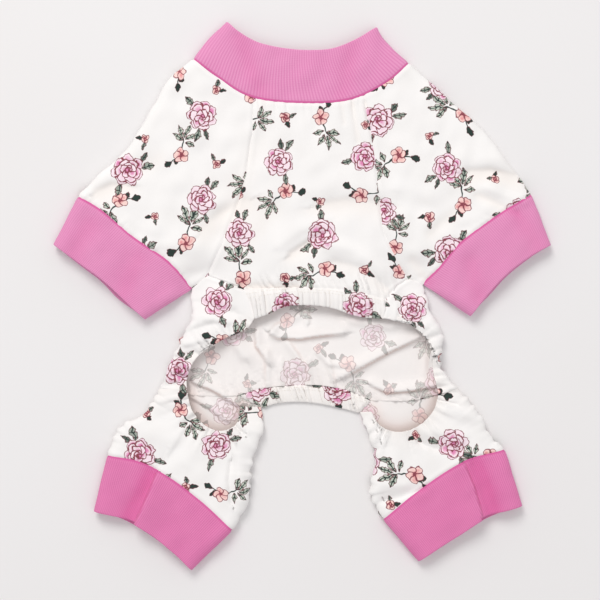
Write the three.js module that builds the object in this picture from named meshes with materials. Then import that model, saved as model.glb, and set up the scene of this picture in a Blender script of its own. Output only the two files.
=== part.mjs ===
import * as THREE from 'three';

// Pyjama suit for a small dog: thin jersey with rib knit collar and cuffs.
// It lies belly side up and pressed flat, with the belly opening in view.
// Millimetres. The origin is on the underside of the back panel, halfway along the suit.
// +Y runs to the neck, +X to the right as seen from above and +Z up.

// Sizes of the suit as it lies
const bodyWidth = 190;
const bodyLength = 245;
const collarDepth = 38.6;
const sleeveLength = 143.8;
const frontCuffDepth = 43.6;
const bellyHemDepth = 13.2;
const tailHemDepth = 12.8;
const thighLength = 65.2;
const inseamLength = 94.3;
const hindCuffDepth = 44.8;
const loft = 9.9;
const pinchLoft = 3;

// Walls
const clothWall = 1.2;
const ribWall = 2.4;
const elasticWall = 2.4;

// Clearances and rounding
const seamGap = 0.5;
const endGap = 1.2;
const foldReach = 8;
const mostReach = 0.3;
const cuffOverhang = 1.6;

// Full sizes of a fold and of a pinch, which their tables take shares of
const foldWidth = 10;
const foldHeight = 2;
const pinchReach = 15;

// Gathers drawn up by the elastic
const gatherPitch = 10;
const gatherHeight = 0.7;
const gatherReach = 14;

// Where the raglan seams meet the collar seam, as shares of that seam
const raglanMeetLeft = 0.305;
const raglanMeetRight = 0.765;

// Mesh steps
const arcSteps = 3;
const armRows = 11;
const legRows = 9;
const cuffRows = 3;
const chestRows = 16;
const chestColumns = 16;
const hemRows = 3;
const hemColumns = 30;
const raglanRows = 10;
const pitRows = 1;
const flankRows = 11;
const backColumns = 16;
const wrapColumns = 3;
const collarSteps = { upper: 16, under: 12 };
const tubeSteps = { upper: 10, under: 7 };
const sleeveSteps = { upper: 9, under: 7 };

// Shares of an edge's mesh steps at which one seam ends and the next begins
const chestRaglanUntil = 0.8;
const wrapSideUntil = 0.24;
const wrapHemEndUntil = 0.42;
const thighUntil = 0.25;
const tailTopUntil = 0.75;
const groinUntil = 0.2;
const rimUntil = 0.88;
const thighBackUntil = 0.78;

// Colours
const clothColour = '#f3efec';
const ribColour = '#e677b6';

// Corners of the body pieces in plan: x in shares of bodyWidth, y in shares of bodyLength
const corners = {
  neckLeft: { x: -0.450, y: 0.788 },
  neckRight: { x: 0.459, y: 0.774 },
  tipLeft: { x: -0.455, y: 0.036 },
  tipRight: { x: 0.517, y: 0.052 },
  pitLeft: { x: -0.388, y: 0.079 },
  pitRight: { x: 0.455, y: 0.068 },
  bellyLeft: { x: -0.193, y: -0.059 },
  bellyRight: { x: 0.346, y: -0.059 },
  groinLeft: { x: -0.589, y: -0.288 },
  groinRight: { x: 0.666, y: -0.288 },
  rimLeft: { x: -0.476, y: -0.293 },
  rimRight: { x: 0.584, y: -0.307 },
  rimEndLeft: { x: -0.249, y: -0.349 },
  rimEndRight: { x: 0.300, y: -0.366 },
  crotchLeft: { x: -0.163, y: -0.352 },
  crotchRight: { x: 0.253, y: -0.368 },
};

// Corners reached from another corner: heading in degrees from +X, length, and a share of it
const reaches = {
  mouthLeft: { from: 'neckLeft', heading: 47.9, length: collarDepth, share: 1.02 },
  mouthRight: { from: 'neckRight', heading: 131.8, length: collarDepth, share: 0.98 },
  shoulderLeft: { from: 'neckLeft', heading: -129.9, length: sleeveLength, share: 1 },
  shoulderRight: { from: 'neckRight', heading: -47, length: sleeveLength, share: 1 },
  frontHemLeft: { from: 'shoulderLeft', heading: -117, length: frontCuffDepth, share: 0.97 },
  frontHemRight: { from: 'shoulderRight', heading: -69.2, length: frontCuffDepth, share: 0.98 },
  frontHeelLeft: { from: 'tipLeft', heading: -146.9, length: frontCuffDepth, share: 1.01 },
  frontHeelRight: { from: 'tipRight', heading: -34.2, length: frontCuffDepth, share: 1.04 },
  casingLeft: { from: 'bellyLeft', heading: 107.8, length: bellyHemDepth, share: 1.78 },
  casingRight: { from: 'bellyRight', heading: 78, length: bellyHemDepth, share: 1.18 },
  tailLeft: { from: 'crotchLeft', heading: 152, length: tailHemDepth, share: 1.62 },
  tailRight: { from: 'crotchRight', heading: 45, length: tailHemDepth, share: 1.06 },
  ankleLeft: { from: 'groinLeft', heading: -128.3, length: thighLength, share: 1.05 },
  ankleRight: { from: 'groinRight', heading: -52.8, length: thighLength, share: 0.95 },
  calfLeft: { from: 'crotchLeft', heading: -103.3, length: inseamLength, share: 1.07 },
  calfRight: { from: 'crotchRight', heading: -77.9, length: inseamLength, share: 0.93 },
  hindHemLeft: { from: 'ankleLeft', heading: -103.3, length: hindCuffDepth, share: 1.01 },
  hindHemRight: { from: 'ankleRight', heading: -72.8, length: hindCuffDepth, share: 1.03 },
  hindHeelLeft: { from: 'calfLeft', heading: -135.7, length: hindCuffDepth, share: 1 },
  hindHeelRight: { from: 'calfRight', heading: -49.5, length: hindCuffDepth, share: 0.96 },
};

// Bends of the seams and edges between two corners.
// Along and out are shares of the straight distance, out being to the left of the way.
const bends = {
  collarSeam: [
    { along: 0.11, out: -0.08 }, { along: 0.26, out: -0.168 }, { along: 0.50, out: -0.195 },
    { along: 0.73, out: -0.175 }, { along: 0.90, out: -0.09 },
  ],
  collarMouth: [
    { along: 0.08, out: -0.066 }, { along: 0.23, out: -0.14 }, { along: 0.50, out: -0.175 },
    { along: 0.71, out: -0.157 }, { along: 0.86, out: -0.092 },
  ],
  collarSideLeft: [{ along: 0.56, out: 0.037 }],
  collarSideRight: [{ along: 0.45, out: 0.055 }, { along: 0.76, out: 0.058 }],
  shoulderLeft: [
    { along: 0.17, out: -0.029 }, { along: 0.35, out: -0.002 },
    { along: 0.61, out: 0.039 }, { along: 0.84, out: 0.01 },
  ],
  shoulderRight: [{ along: 0.29, out: 0.022 }, { along: 0.56, out: 0.047 }, { along: 0.80, out: 0.024 }],
  frontSeamLeft: [{ along: 0.19, out: 0.027 }, { along: 0.46, out: 0.021 }, { along: 0.78, out: 0.041 }],
  frontSeamRight: [{ along: 0.28, out: -0.037 }, { along: 0.63, out: -0.053 }, { along: 0.85, out: -0.012 }],
  frontHemLeft: [{ along: 0.27, out: 0.016 }, { along: 0.50, out: 0.03 }, { along: 0.83, out: 0.01 }],
  frontHemRight: [{ along: 0.18, out: -0.044 }, { along: 0.50, out: -0.072 }, { along: 0.78, out: -0.041 }],
  raglanLeft: [{ along: 0.15, out: 0.03 }, { along: 0.41, out: 0.06 }, { along: 0.64, out: 0.052 }],
  raglanRight: [{ along: 0.28, out: -0.014 }, { along: 0.51, out: -0.041 }, { along: 0.74, out: -0.064 }],
  sideLeft: [{ along: 0.54, out: 0.013 }],
  sideRight: [{ along: 0.48, out: -0.072 }],
  hemEndLeft: [{ along: 0.44, out: 0.037 }],
  hemEndRight: [],
  casing: [{ along: 0.14, out: 0.02 }, { along: 0.39, out: 0.042 }, { along: 0.71, out: 0.045 }],
  bellyEdge: [
    { along: 0.13, out: 0.047 }, { along: 0.23, out: 0.094 }, { along: 0.38, out: 0.109 },
    { along: 0.59, out: 0.09 }, { along: 0.80, out: 0.023 },
  ],
  rimUpperLeft: [
    { along: 0.12, out: 0.017 }, { along: 0.37, out: -0.085 },
    { along: 0.69, out: -0.154 }, { along: 0.91, out: -0.083 },
  ],
  rimUpperRight: [
    { along: 0.11, out: 0.152 }, { along: 0.42, out: 0.24 },
    { along: 0.58, out: 0.211 }, { along: 0.80, out: 0.084 },
  ],
  rimLowerLeft: [
    { along: 0.19, out: -0.31 }, { along: 0.51, out: -0.506 },
    { along: 0.81, out: -0.505 }, { along: 1.02, out: -0.308 },
  ],
  rimLowerRight: [
    { along: 0.14, out: 0.212 }, { along: 0.45, out: 0.38 },
    { along: 0.74, out: 0.362 }, { along: 0.94, out: 0.208 },
  ],
  flankLeft: [
    { along: 0.13, out: 0.023 }, { along: 0.22, out: 0.08 },
    { along: 0.47, out: 0.05 }, { along: 0.79, out: 0.014 },
  ],
  flankRight: [
    { along: 0.27, out: -0.004 }, { along: 0.49, out: 0.027 },
    { along: 0.76, out: -0.092 }, { along: 0.88, out: -0.057 },
  ],
  thighLeft: [{ along: 0.38, out: 0.031 }, { along: 0.66, out: -0.086 }],
  thighRight: [{ along: 0.47, out: 0.018 }, { along: 0.73, out: -0.037 }],
  innerLeft: [{ along: 0.13, out: 0.054 }, { along: 0.43, out: 0.029 }, { along: 0.77, out: 0.068 }],
  innerRight: [{ along: 0.32, out: 0.044 }, { along: 0.47, out: 0.04 }, { along: 0.73, out: -0.064 }],
  hindSeamLeft: [{ along: 0.20, out: 0.073 }, { along: 0.38, out: 0.092 }, { along: 0.71, out: 0.062 }],
  hindSeamRight: [{ along: 0.27, out: -0.073 }, { along: 0.46, out: -0.074 }, { along: 0.74, out: -0.045 }],
  hindHemLeft: [{ along: 0.27, out: 0.081 }, { along: 0.55, out: 0.085 }, { along: 0.85, out: 0.04 }],
  hindHemRight: [{ along: 0.31, out: -0.058 }, { along: 0.58, out: -0.038 }, { along: 0.85, out: -0.017 }],
  tailTop: [
    { along: 0.14, out: 0.054 }, { along: 0.37, out: 0.092 },
    { along: 0.61, out: 0.101 }, { along: 0.82, out: 0.068 },
  ],
  tailEdge: [
    { along: 0.14, out: 0.054 }, { along: 0.39, out: 0.085 },
    { along: 0.62, out: 0.072 }, { along: 0.85, out: 0.033 },
  ],
  thighBackLeft: [{ along: 0.52, out: -0.049 }],
  thighBackRight: [{ along: 0.51, out: 0.063 }],
};

// Folds of the upper layer: ends in shares of the body, width and height in shares of a full fold
const upperFolds = [
  { from: { x: -0.042, y: 0.147 }, to: { x: 0.084, y: 0.213 }, width: 0.6, height: -0.8 },
  { from: { x: 0.084, y: 0.311 }, to: { x: 0.316, y: 0.316 }, width: 0.9, height: -0.65 },
  { from: { x: 0.126, y: 0.179 }, to: { x: 0.329, y: 0.123 }, width: 0.7, height: 0.8 },
  { from: { x: -0.147, y: 0.261 }, to: { x: -0.042, y: 0.179 }, width: 1.1, height: -0.5 },
  { from: { x: -0.233, y: 0.032 }, to: { x: 0.362, y: 0.021 }, width: 0.5, height: -0.7 },
  { from: { x: -0.400, y: 0.245 }, to: { x: -0.253, y: 0.311 }, width: 0.9, height: -0.6 },
  { from: { x: -0.842, y: 0.368 }, to: { x: -0.712, y: 0.358 }, width: 0.8, height: -0.8 },
  { from: { x: 0.716, y: 0.424 }, to: { x: 0.884, y: 0.408 }, width: 0.9, height: -0.8 },
  { from: { x: 0.800, y: 0.375 }, to: { x: 0.926, y: 0.311 }, width: 0.7, height: 0.7 },
  { from: { x: -0.421, y: -0.016 }, to: { x: -0.295, y: -0.032 }, width: 0.6, height: -0.75 },
  { from: { x: 0.496, y: -0.463 }, to: { x: 0.675, y: -0.490 }, width: 0.6, height: -0.8 },
  { from: { x: 0.350, y: -0.653 }, to: { x: 0.517, y: -0.613 }, width: 0.6, height: -0.7 },
  { from: { x: -0.295, y: -0.538 }, to: { x: -0.295, y: -0.647 }, width: 0.6, height: -0.75 },
  { from: { x: -0.584, y: -0.549 }, to: { x: -0.691, y: -0.728 }, width: 0.9, height: -0.7 },
  { from: { x: 0.683, y: -0.529 }, to: { x: 0.758, y: -0.703 }, width: 0.8, height: -0.65 },
];

// Folds of the back panel's cloth that show through the belly opening
const underFolds = [
  { from: { x: -0.117, y: -0.118 }, to: { x: 0.189, y: -0.122 }, width: 0.7, height: 1.7 },
  { from: { x: -0.180, y: -0.089 }, to: { x: -0.130, y: -0.193 }, width: 0.6, height: 1.2 },
  { from: { x: 0.471, y: -0.143 }, to: { x: 0.184, y: -0.252 }, width: 0.7, height: 1.5 },
  { from: { x: 0.471, y: -0.250 }, to: { x: 0.300, y: -0.286 }, width: 0.6, height: 1.1 },
];

// Places where seams draw the upper layer down to the under layer, reach in shares of pinchReach
const pinches = [
  { corner: 'pitLeft', reach: 1 },
  { corner: 'tipLeft', reach: 1 },
  { corner: 'pitRight', reach: 1 },
  { corner: 'tipRight', reach: 1 },
  { corner: 'rimEndLeft', reach: 0.87 },
  { corner: 'crotchLeft', reach: 0.87 },
  { corner: 'rimEndRight', reach: 0.87 },
  { corner: 'crotchRight', reach: 0.87 },
];

const { lerp } = THREE.MathUtils;

function scaled(share) {
  return new THREE.Vector2(share.x * bodyWidth, share.y * bodyLength);
}

function spot(name) {
  if (corners[name]) return scaled(corners[name]);
  const { from, heading, length, share } = reaches[name];
  const angle = THREE.MathUtils.degToRad(heading);
  return spot(from).add(new THREE.Vector2(Math.cos(angle), Math.sin(angle)).multiplyScalar(length * share));
}

// A smooth line in plan from one place to another through its bends, run from 0 to 1
function line(start, end, rows) {
  const run = end.clone().sub(start);
  const side = new THREE.Vector2(-run.y, run.x);
  const bent = (row) => start.clone().addScaledVector(run, row.along).addScaledVector(side, row.out);
  const inner = rows.map(bent);
  const points = [start, ...inner, end].map((point) => new THREE.Vector3(point.x, point.y, 0));
  const curve = new THREE.CatmullRomCurve3(points, false, 'centripetal');
  return (share) => {
    const point = curve.getPointAt(THREE.MathUtils.clamp(share, 0, 1));
    return new THREE.Vector2(point.x, point.y);
  };
}

function between(startName, endName, bendName) {
  return line(spot(startName), spot(endName), bends[bendName] ?? []);
}

function reversed(curve) {
  return (share) => curve(1 - share);
}

function stretch(curve, from, to) {
  return (share) => curve(lerp(from, to, share));
}

// Several lines as one, each running until its own share of the whole
function chain(links) {
  return (share) => {
    const index = links.findIndex((link) => share <= link.until);
    const link = links[index < 0 ? links.length - 1 : index];
    const before = index > 0 ? links[index - 1].until : 0;
    return link.curve((share - before) / (link.until - before));
  };
}

// A patch in plan between four lines: start and end at u = 0 and 1, left and right at v = 0 and 1
function patch(start, end, left, right) {
  const blend = (u, v, axis) => {
    const ruled = lerp(start(v)[axis], end(v)[axis], u) + lerp(left(u)[axis], right(u)[axis], v);
    const first = lerp(start(0)[axis], start(1)[axis], v);
    const last = lerp(end(0)[axis], end(1)[axis], v);
    return ruled - lerp(first, last, u);
  };
  return (u, v) => new THREE.Vector2(blend(u, v, 'x'), blend(u, v, 'y'));
}

// The same patch drawn back from its sides by a distance in millimetres
function drawnIn(plan, { start = seamGap / 2, end = seamGap / 2, left = seamGap / 2, right = seamGap / 2 }) {
  return (u, v) => {
    const length = plan(0, v).distanceTo(plan(1, v));
    const across = plan(u, 0).distanceTo(plan(u, 1));
    return plan(lerp(start / length, 1 - end / length, u), lerp(left / across, 1 - right / across, v));
  };
}

// Height that a fold gives at a place, dying away to its sides and ends
function foldAt(place, fold) {
  const from = scaled(fold.from);
  const run = scaled(fold.to).sub(from);
  const share = THREE.MathUtils.clamp(place.clone().sub(from).dot(run) / run.lengthSq(), 0, 1);
  const away = place.distanceTo(from.addScaledVector(run, share));
  return foldHeight * fold.height * Math.exp(-((away / (foldWidth * fold.width)) ** 2));
}

function gatherAt(place, edgeY) {
  const fade = Math.exp(-(((place.y - edgeY) / gatherReach) ** 2));
  return gatherHeight * fade * Math.cos((2 * Math.PI * place.x) / gatherPitch);
}

const bellyY = spot('bellyLeft').y;
const tailY = spot('crotchLeft').y;

// Height of the middle of the upper layer
function upperHeight(place) {
  const inBelly = place.x > spot('bellyLeft').x && place.x < spot('bellyRight').x;
  let rise = loft + (inBelly ? gatherAt(place, bellyY) : 0);
  for (const fold of upperFolds) {
    rise += foldAt(place, fold);
  }
  for (const pinch of pinches) {
    const reach = pinchReach * pinch.reach;
    const near = Math.exp(-((place.distanceTo(spot(pinch.corner)) / reach) ** 2));
    rise = lerp(rise, pinchLoft, near);
  }
  return clothWall / 2 + rise;
}

// Height of the middle of the under layer
function underHeight(place, wall) {
  let rise = 0;
  for (const fold of underFolds) {
    rise += foldAt(place, fold);
  }
  return wall / 2 + rise;
}

// Stations of a section through two layers, from the upper layer round a fold to the under layer.
// Each has its layer, its place across as a function of the fold's share, and its lift.
function foldStations(edge) {
  const turn = (angle) => (reach) => {
    const inward = reach * (1 - Math.cos(angle));
    return edge ? 1 - inward : inward;
  };
  const stations = [];
  for (let step = arcSteps - 1; step > -arcSteps; step -= 1) {
    const angle = (step / arcSteps) * (Math.PI / 2);
    const layer = step < 0 ? 'under' : 'upper';
    stations.push({ layer, across: turn(angle), lift: Math.abs(Math.sin(angle)) });
  }
  return stations;
}

function flatStations(layer, steps, nearEdge, farEdge) {
  const first = nearEdge ? 1 : 0;
  const last = farEdge ? 1 : 0;
  const stations = [];
  for (let step = 0; step <= steps; step += 1) {
    const share = step / steps;
    stations.push({ layer, across: (reach) => lerp(first * reach, 1 - last * reach, share), lift: 1 });
  }
  return stations;
}

// A sleeve section, open along v = 1 and folded along v = 0
function openSection(steps) {
  return [
    ...flatStations('upper', steps.upper, true, false).reverse(),
    ...foldStations(0),
    ...flatStations('under', steps.under, true, false),
  ];
}

// A closed section, folded along v = 0 and v = 1
function closedSection(steps) {
  return [
    ...flatStations('upper', steps.upper, true, true).reverse(),
    ...foldStations(0),
    ...flatStations('under', steps.under, true, true),
    ...foldStations(1).reverse(),
  ];
}

// Places a station of a two layer piece whose plans are given for each layer
function placeOnLayers(plans, wall, u, station) {
  const plan = plans[station.layer];
  const across = plan(u, 0).distanceTo(plan(u, 1));
  const reach = Math.min(foldReach / across, mostReach);
  const place = plan(u, station.across(reach));
  const high = upperHeight(place);
  const low = underHeight(place, wall);
  const side = station.layer === 'upper' ? 1 : -1;
  return new THREE.Vector3(place.x, place.y, lerp(low, high, 0.5 + 0.5 * side * station.lift));
}

// A wall of even thickness about a grid of middle points.
// Cells for which holds is false are left open; a closed grid joins its last column to its first.
function wallMesh(name, rows, columns, middle, wall, look, closed = false, holds = () => true) {
  const grid = [];
  for (let row = 0; row <= rows; row += 1) {
    grid.push(Array.from({ length: columns + 1 }, (_, column) => middle(row, column)));
  }
  const width = closed ? columns : columns + 1;
  const wrap = (column) => (closed ? (column + columns) % columns : column);
  const kept = (row, column) => {
    const inside = row >= 0 && row < rows && (closed || (column >= 0 && column < columns));
    return inside && holds(row, wrap(column));
  };
  const touched = (row, column) => [[0, 0], [-1, 0], [0, -1], [-1, -1]]
    .some(([down, back]) => kept(row + down, column + back));
  const at = (row, column) => grid[row][wrap(column)];
  const slope = (row, column, alongRow) => {
    const [stepRow, stepColumn] = alongRow ? [0, 1] : [1, 0];
    const reach = (sign) => {
      const nextRow = row + sign * stepRow;
      const nextColumn = column + sign * stepColumn;
      const inRows = nextRow >= 0 && nextRow <= rows;
      const inGrid = inRows && (closed || (nextColumn >= 0 && nextColumn <= columns));
      return inGrid && touched(nextRow, nextColumn) ? at(nextRow, nextColumn) : at(row, column);
    };
    return reach(1).clone().sub(reach(-1));
  };
  const positions = [];
  const index = new Map();
  for (let row = 0; row <= rows; row += 1) {
    for (let column = 0; column < width; column += 1) {
      if (!touched(row, column)) continue;
      const normal = slope(row, column, false).cross(slope(row, column, true)).normalize();
      index.set(`${row},${column}`, positions.length / 6);
      for (const side of [1, -1]) {
        positions.push(...at(row, column).clone().addScaledVector(normal, (side * wall) / 2).toArray());
      }
    }
  }
  const faces = [];
  const outer = (row, column) => 2 * index.get(`${row},${wrap(column)}`);
  const inner = (row, column) => outer(row, column) + 1;
  const quad = (a, b, c, d) => faces.push(a, b, c, a, c, d);
  const rim = (from, to) => quad(outer(...to), outer(...from), inner(...from), inner(...to));
  for (let row = 0; row < rows; row += 1) {
    for (let column = 0; column < columns; column += 1) {
      if (!kept(row, column)) continue;
      const ring = [[row, column], [row + 1, column], [row + 1, column + 1], [row, column + 1]];
      quad(...ring.map((corner) => outer(...corner)));
      quad(...ring.map((corner) => inner(...corner)).reverse());
      const beside = [[row, column - 1], [row + 1, column], [row, column + 1], [row - 1, column]];
      beside.forEach((cell, side) => {
        if (!kept(...cell)) rim(ring[side], ring[(side + 1) % 4]);
      });
    }
  }
  const geometry = new THREE.BufferGeometry();
  geometry.setAttribute('position', new THREE.Float32BufferAttribute(positions, 3));
  geometry.setIndex(faces);
  geometry.computeVertexNormals();
  const mesh = new THREE.Mesh(geometry, look);
  mesh.name = name;
  return mesh;
}

function clothLook() {
  return new THREE.MeshStandardMaterial({ color: clothColour, roughness: 0.9, metalness: 0 });
}

function ribLook() {
  return new THREE.MeshStandardMaterial({ color: ribColour, roughness: 0.92, metalness: 0 });
}

// Seams shared by neighbouring pieces
const collarSeam = between('neckLeft', 'neckRight', 'collarSeam');
const sides = {
  left: { suffix: 'Left', meet: raglanMeetLeft, neckShare: 0 },
  right: { suffix: 'Right', meet: raglanMeetRight, neckShare: 1 },
};
for (const seam of Object.values(sides)) {
  const name = (stem) => `${stem}${seam.suffix}`;
  seam.raglan = line(collarSeam(seam.meet), spot(name('pit')), bends[name('raglan')]);
  seam.pit = between(name('pit'), name('tip'));
  seam.shoulder = between(name('neck'), name('shoulder'), name('shoulder'));
  seam.frontSeam = between(name('shoulder'), name('tip'), name('frontSeam'));
  seam.frontHem = between(name('frontHem'), name('frontHeel'), name('frontHem'));
  seam.side = between(name('pit'), name('casing'), name('side'));
  seam.hemEnd = between(name('casing'), name('belly'), name('hemEnd'));
  seam.rimUpper = between(name('belly'), name('rim'), name('rimUpper'));
  seam.rimLower = between(name('rim'), name('rimEnd'), name('rimLower'));
  seam.flank = between(name('tip'), name('groin'), name('flank'));
  seam.groin = between(name('groin'), name('rim'));
  seam.crotch = between(name('rimEnd'), name('crotch'));
  seam.thigh = between(name('groin'), name('ankle'), name('thigh'));
  seam.thighBack = between(name('groin'), name('tail'), name('thighBack'));
  seam.inner = between(name('crotch'), name('calf'), name('inner'));
  seam.hindSeam = between(name('ankle'), name('calf'), name('hindSeam'));
  seam.hindHem = between(name('hindHem'), name('hindHeel'), name('hindHem'));
  seam.tailEnd = between(name('tail'), name('crotch'));
  seam.frontOuter = between(name('shoulder'), name('frontHem'));
  seam.frontInner = between(name('tip'), name('frontHeel'));
  seam.hindOuter = between(name('ankle'), name('hindHem'));
  seam.hindInner = between(name('calf'), name('hindHeel'));
}
const casing = between('casingLeft', 'casingRight', 'casing');
const tailTop = between('tailLeft', 'tailRight', 'tailTop');

function collar() {
  const plan = patch(
    collarSeam,
    between('mouthLeft', 'mouthRight', 'collarMouth'),
    between('neckLeft', 'mouthLeft', 'collarSideLeft'),
    between('neckRight', 'mouthRight', 'collarSideRight'),
  );
  const band = drawnIn(plan, { end: 0, left: ribWall / 2, right: ribWall / 2 });
  const stations = closedSection(collarSteps);
  const middle = (row, column) => placeOnLayers(
    { upper: band, under: band }, ribWall, row / cuffRows, stations[column % stations.length],
  );
  return wallMesh('collar', cuffRows, stations.length, middle, ribWall, ribLook(), true);
}

function chestPanel() {
  const edge = (seam) => chain([
    { curve: seam.raglan, until: chestRaglanUntil },
    { curve: seam.side, until: 1 },
  ]);
  const neckline = stretch(collarSeam, raglanMeetLeft, raglanMeetRight);
  const plan = drawnIn(patch(neckline, casing, edge(sides.left), edge(sides.right)), {});
  const middle = (row, column) => {
    const place = plan(row / chestRows, column / chestColumns);
    return new THREE.Vector3(place.x, place.y, upperHeight(place));
  };
  return wallMesh('chest_panel', chestRows, chestColumns, middle, clothWall, clothLook());
}

function bellyHem() {
  const edge = between('bellyLeft', 'bellyRight', 'bellyEdge');
  const plan = drawnIn(patch(casing, edge, sides.left.hemEnd, sides.right.hemEnd), { end: 0 });
  const middle = (row, column) => {
    const place = plan(row / hemRows, column / hemColumns);
    return new THREE.Vector3(place.x, place.y, upperHeight(place));
  };
  return wallMesh('belly_hem', hemRows, hemColumns, middle, elasticWall, clothLook());
}

// Sleeve from the collar and raglan seams to the cuff seam, folded along the shoulder
function sleeve(key) {
  const seam = sides[key];
  const neckline = stretch(collarSeam, seam.neckShare, seam.meet);
  const armhole = chain([{ curve: seam.raglan, until: 1 - 1 / armRows }, { curve: seam.pit, until: 1 }]);
  const plan = drawnIn(patch(neckline, seam.frontSeam, seam.shoulder, armhole), { left: clothWall / 2 });
  const stations = openSection(sleeveSteps);
  const middle = (row, column) => placeOnLayers(
    { upper: plan, under: plan }, clothWall, row / armRows, stations[column],
  );
  return wallMesh(`sleeve_${key}`, armRows, stations.length - 1, middle, clothWall, clothLook());
}

// A cuff as a flattened rib tube, with the layer beneath a little longer than the one above
function cuff(name, seamLine, hem, outer, inner) {
  const fall = hem(0.5).sub(seamLine(0.5)).normalize();
  const longerHem = (share) => hem(share).addScaledVector(fall, cuffOverhang * Math.sin(Math.PI * share));
  const trims = { end: 0, left: ribWall / 2, right: ribWall / 2 };
  const plans = {
    upper: drawnIn(patch(seamLine, hem, outer, inner), trims),
    under: drawnIn(patch(seamLine, longerHem, outer, inner), trims),
  };
  const stations = closedSection(tubeSteps);
  const middle = (row, column) => placeOnLayers(
    plans, ribWall, row / cuffRows, stations[column % stations.length],
  );
  return wallMesh(name, cuffRows, stations.length, middle, ribWall, ribLook(), true);
}

// The back panel lies under everything and wraps over both flanks up to the rims of the opening
function backPanel() {
  const bodyRows = raglanRows + pitRows + flankRows;
  const tipRow = raglanRows + pitRows;
  const edge = (seam) => chain([
    { curve: seam.raglan, until: raglanRows / bodyRows },
    { curve: seam.pit, until: tipRow / bodyRows },
    { curve: seam.flank, until: 1 },
  ]);
  const neckline = stretch(collarSeam, raglanMeetLeft, raglanMeetRight);
  const bottom = chain([
    { curve: sides.left.thighBack, until: thighUntil },
    { curve: tailTop, until: tailTopUntil },
    { curve: reversed(sides.right.thighBack), until: 1 },
  ]);
  const under = drawnIn(patch(neckline, bottom, edge(sides.left), edge(sides.right)), {
    left: clothWall / 2, right: clothWall / 2,
  });
  const wrap = (seam) => drawnIn(patch(
    reversed(seam.pit),
    seam.groin,
    seam.flank,
    chain([
      { curve: seam.side, until: wrapSideUntil },
      { curve: seam.hemEnd, until: wrapHemEndUntil },
      { curve: seam.rimUpper, until: 1 },
    ]),
  ), { left: clothWall / 2 });
  const wraps = { left: wrap(sides.left), right: wrap(sides.right) };
  const across = flatStations('under', backColumns, false, false);
  across[0].across = (reach) => reach;
  across[backColumns].across = (reach) => 1 - reach;
  const underTurn = (side) => foldStations(side).filter((station) => station.layer === 'under');
  const wrapTurn = (layer) => foldStations(0)
    .filter((station) => station.layer === 'upper' && station.lift > 0)
    .map((station) => ({ ...station, layer }));
  const crease = (side) => ({ layer: 'under', across: () => side, lift: 0 });
  const stations = [
    ...flatStations('left', wrapColumns, true, false).reverse(),
    ...wrapTurn('left'),
    crease(0),
    ...underTurn(0),
    ...across,
    ...underTurn(1).reverse(),
    crease(1),
    ...wrapTurn('right').reverse(),
    ...flatStations('right', wrapColumns, true, false),
  ];
  const creaseLeft = stations.findIndex((station) => station.lift === 0);
  const creaseRight = stations.length - 1 - creaseLeft;
  const middle = (row, column) => {
    const station = stations[column];
    const onUnder = station.layer === 'under';
    const plan = onUnder ? under : wraps[station.layer];
    const u = onUnder ? row / bodyRows : Math.max(0, (row - tipRow) / flankRows);
    const width = plan(u, 0).distanceTo(plan(u, 1));
    const reach = Math.min(foldReach / width, onUnder ? 0.8 / backColumns : mostReach);
    const place = plan(u, station.across(reach));
    const low = underHeight(place, clothWall);
    const share = 0.5 + (onUnder ? -0.5 : 0.5) * station.lift;
    const height = row < tipRow ? low : lerp(low, upperHeight(place), share);
    return new THREE.Vector3(place.x, place.y, height);
  };
  const holds = (row, column) => row >= tipRow || (column >= creaseLeft && column < creaseRight);
  return wallMesh('back_panel', bodyRows, stations.length - 1, middle, clothWall, clothLook(), false, holds);
}

// Elastic casing turned in along the tail end of the back panel
function tailHem() {
  const edge = between('crotchLeft', 'crotchRight', 'tailEdge');
  const trims = { start: endGap, end: 0, left: endGap, right: endGap };
  const plan = drawnIn(patch(tailTop, edge, sides.left.tailEnd, sides.right.tailEnd), trims);
  const middle = (row, column) => {
    const place = plan(row / hemRows, column / hemColumns);
    return new THREE.Vector3(place.x, place.y, elasticWall / 2 + gatherHeight + gatherAt(place, tailY));
  };
  return wallMesh('tail_hem', hemRows, hemColumns, middle, elasticWall, clothLook());
}

// Leg from the groin, the lower rim and the crotch to the hind cuff
function leg(key) {
  const seam = sides[key];
  const rim = chain([
    { curve: seam.groin, until: groinUntil },
    { curve: seam.rimLower, until: rimUntil },
    { curve: seam.crotch, until: 1 },
  ]);
  const back = chain([{ curve: seam.thighBack, until: thighBackUntil }, { curve: seam.tailEnd, until: 1 }]);
  const trims = { left: clothWall / 2, right: clothWall / 2 };
  const plans = {
    upper: drawnIn(patch(rim, seam.hindSeam, seam.thigh, seam.inner), trims),
    under: drawnIn(patch(back, seam.hindSeam, seam.thigh, seam.inner), trims),
  };
  const stations = closedSection(tubeSteps);
  const middle = (row, column) => placeOnLayers(
    plans, clothWall, row / legRows, stations[column % stations.length],
  );
  return wallMesh(`leg_${key}`, legRows, stations.length, middle, clothWall, clothLook(), true);
}

const suit = new THREE.Group();
suit.add(collar(), chestPanel(), bellyHem(), backPanel(), tailHem());
for (const key of Object.keys(sides)) {
  const seam = sides[key];
  suit.add(sleeve(key));
  suit.add(cuff(`front_cuff_${key}`, seam.frontSeam, seam.frontHem, seam.frontOuter, seam.frontInner));
  suit.add(leg(key));
  suit.add(cuff(`hind_cuff_${key}`, seam.hindSeam, seam.hindHem, seam.hindOuter, seam.hindInner));
}

export default suit;
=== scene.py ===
import math

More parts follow.
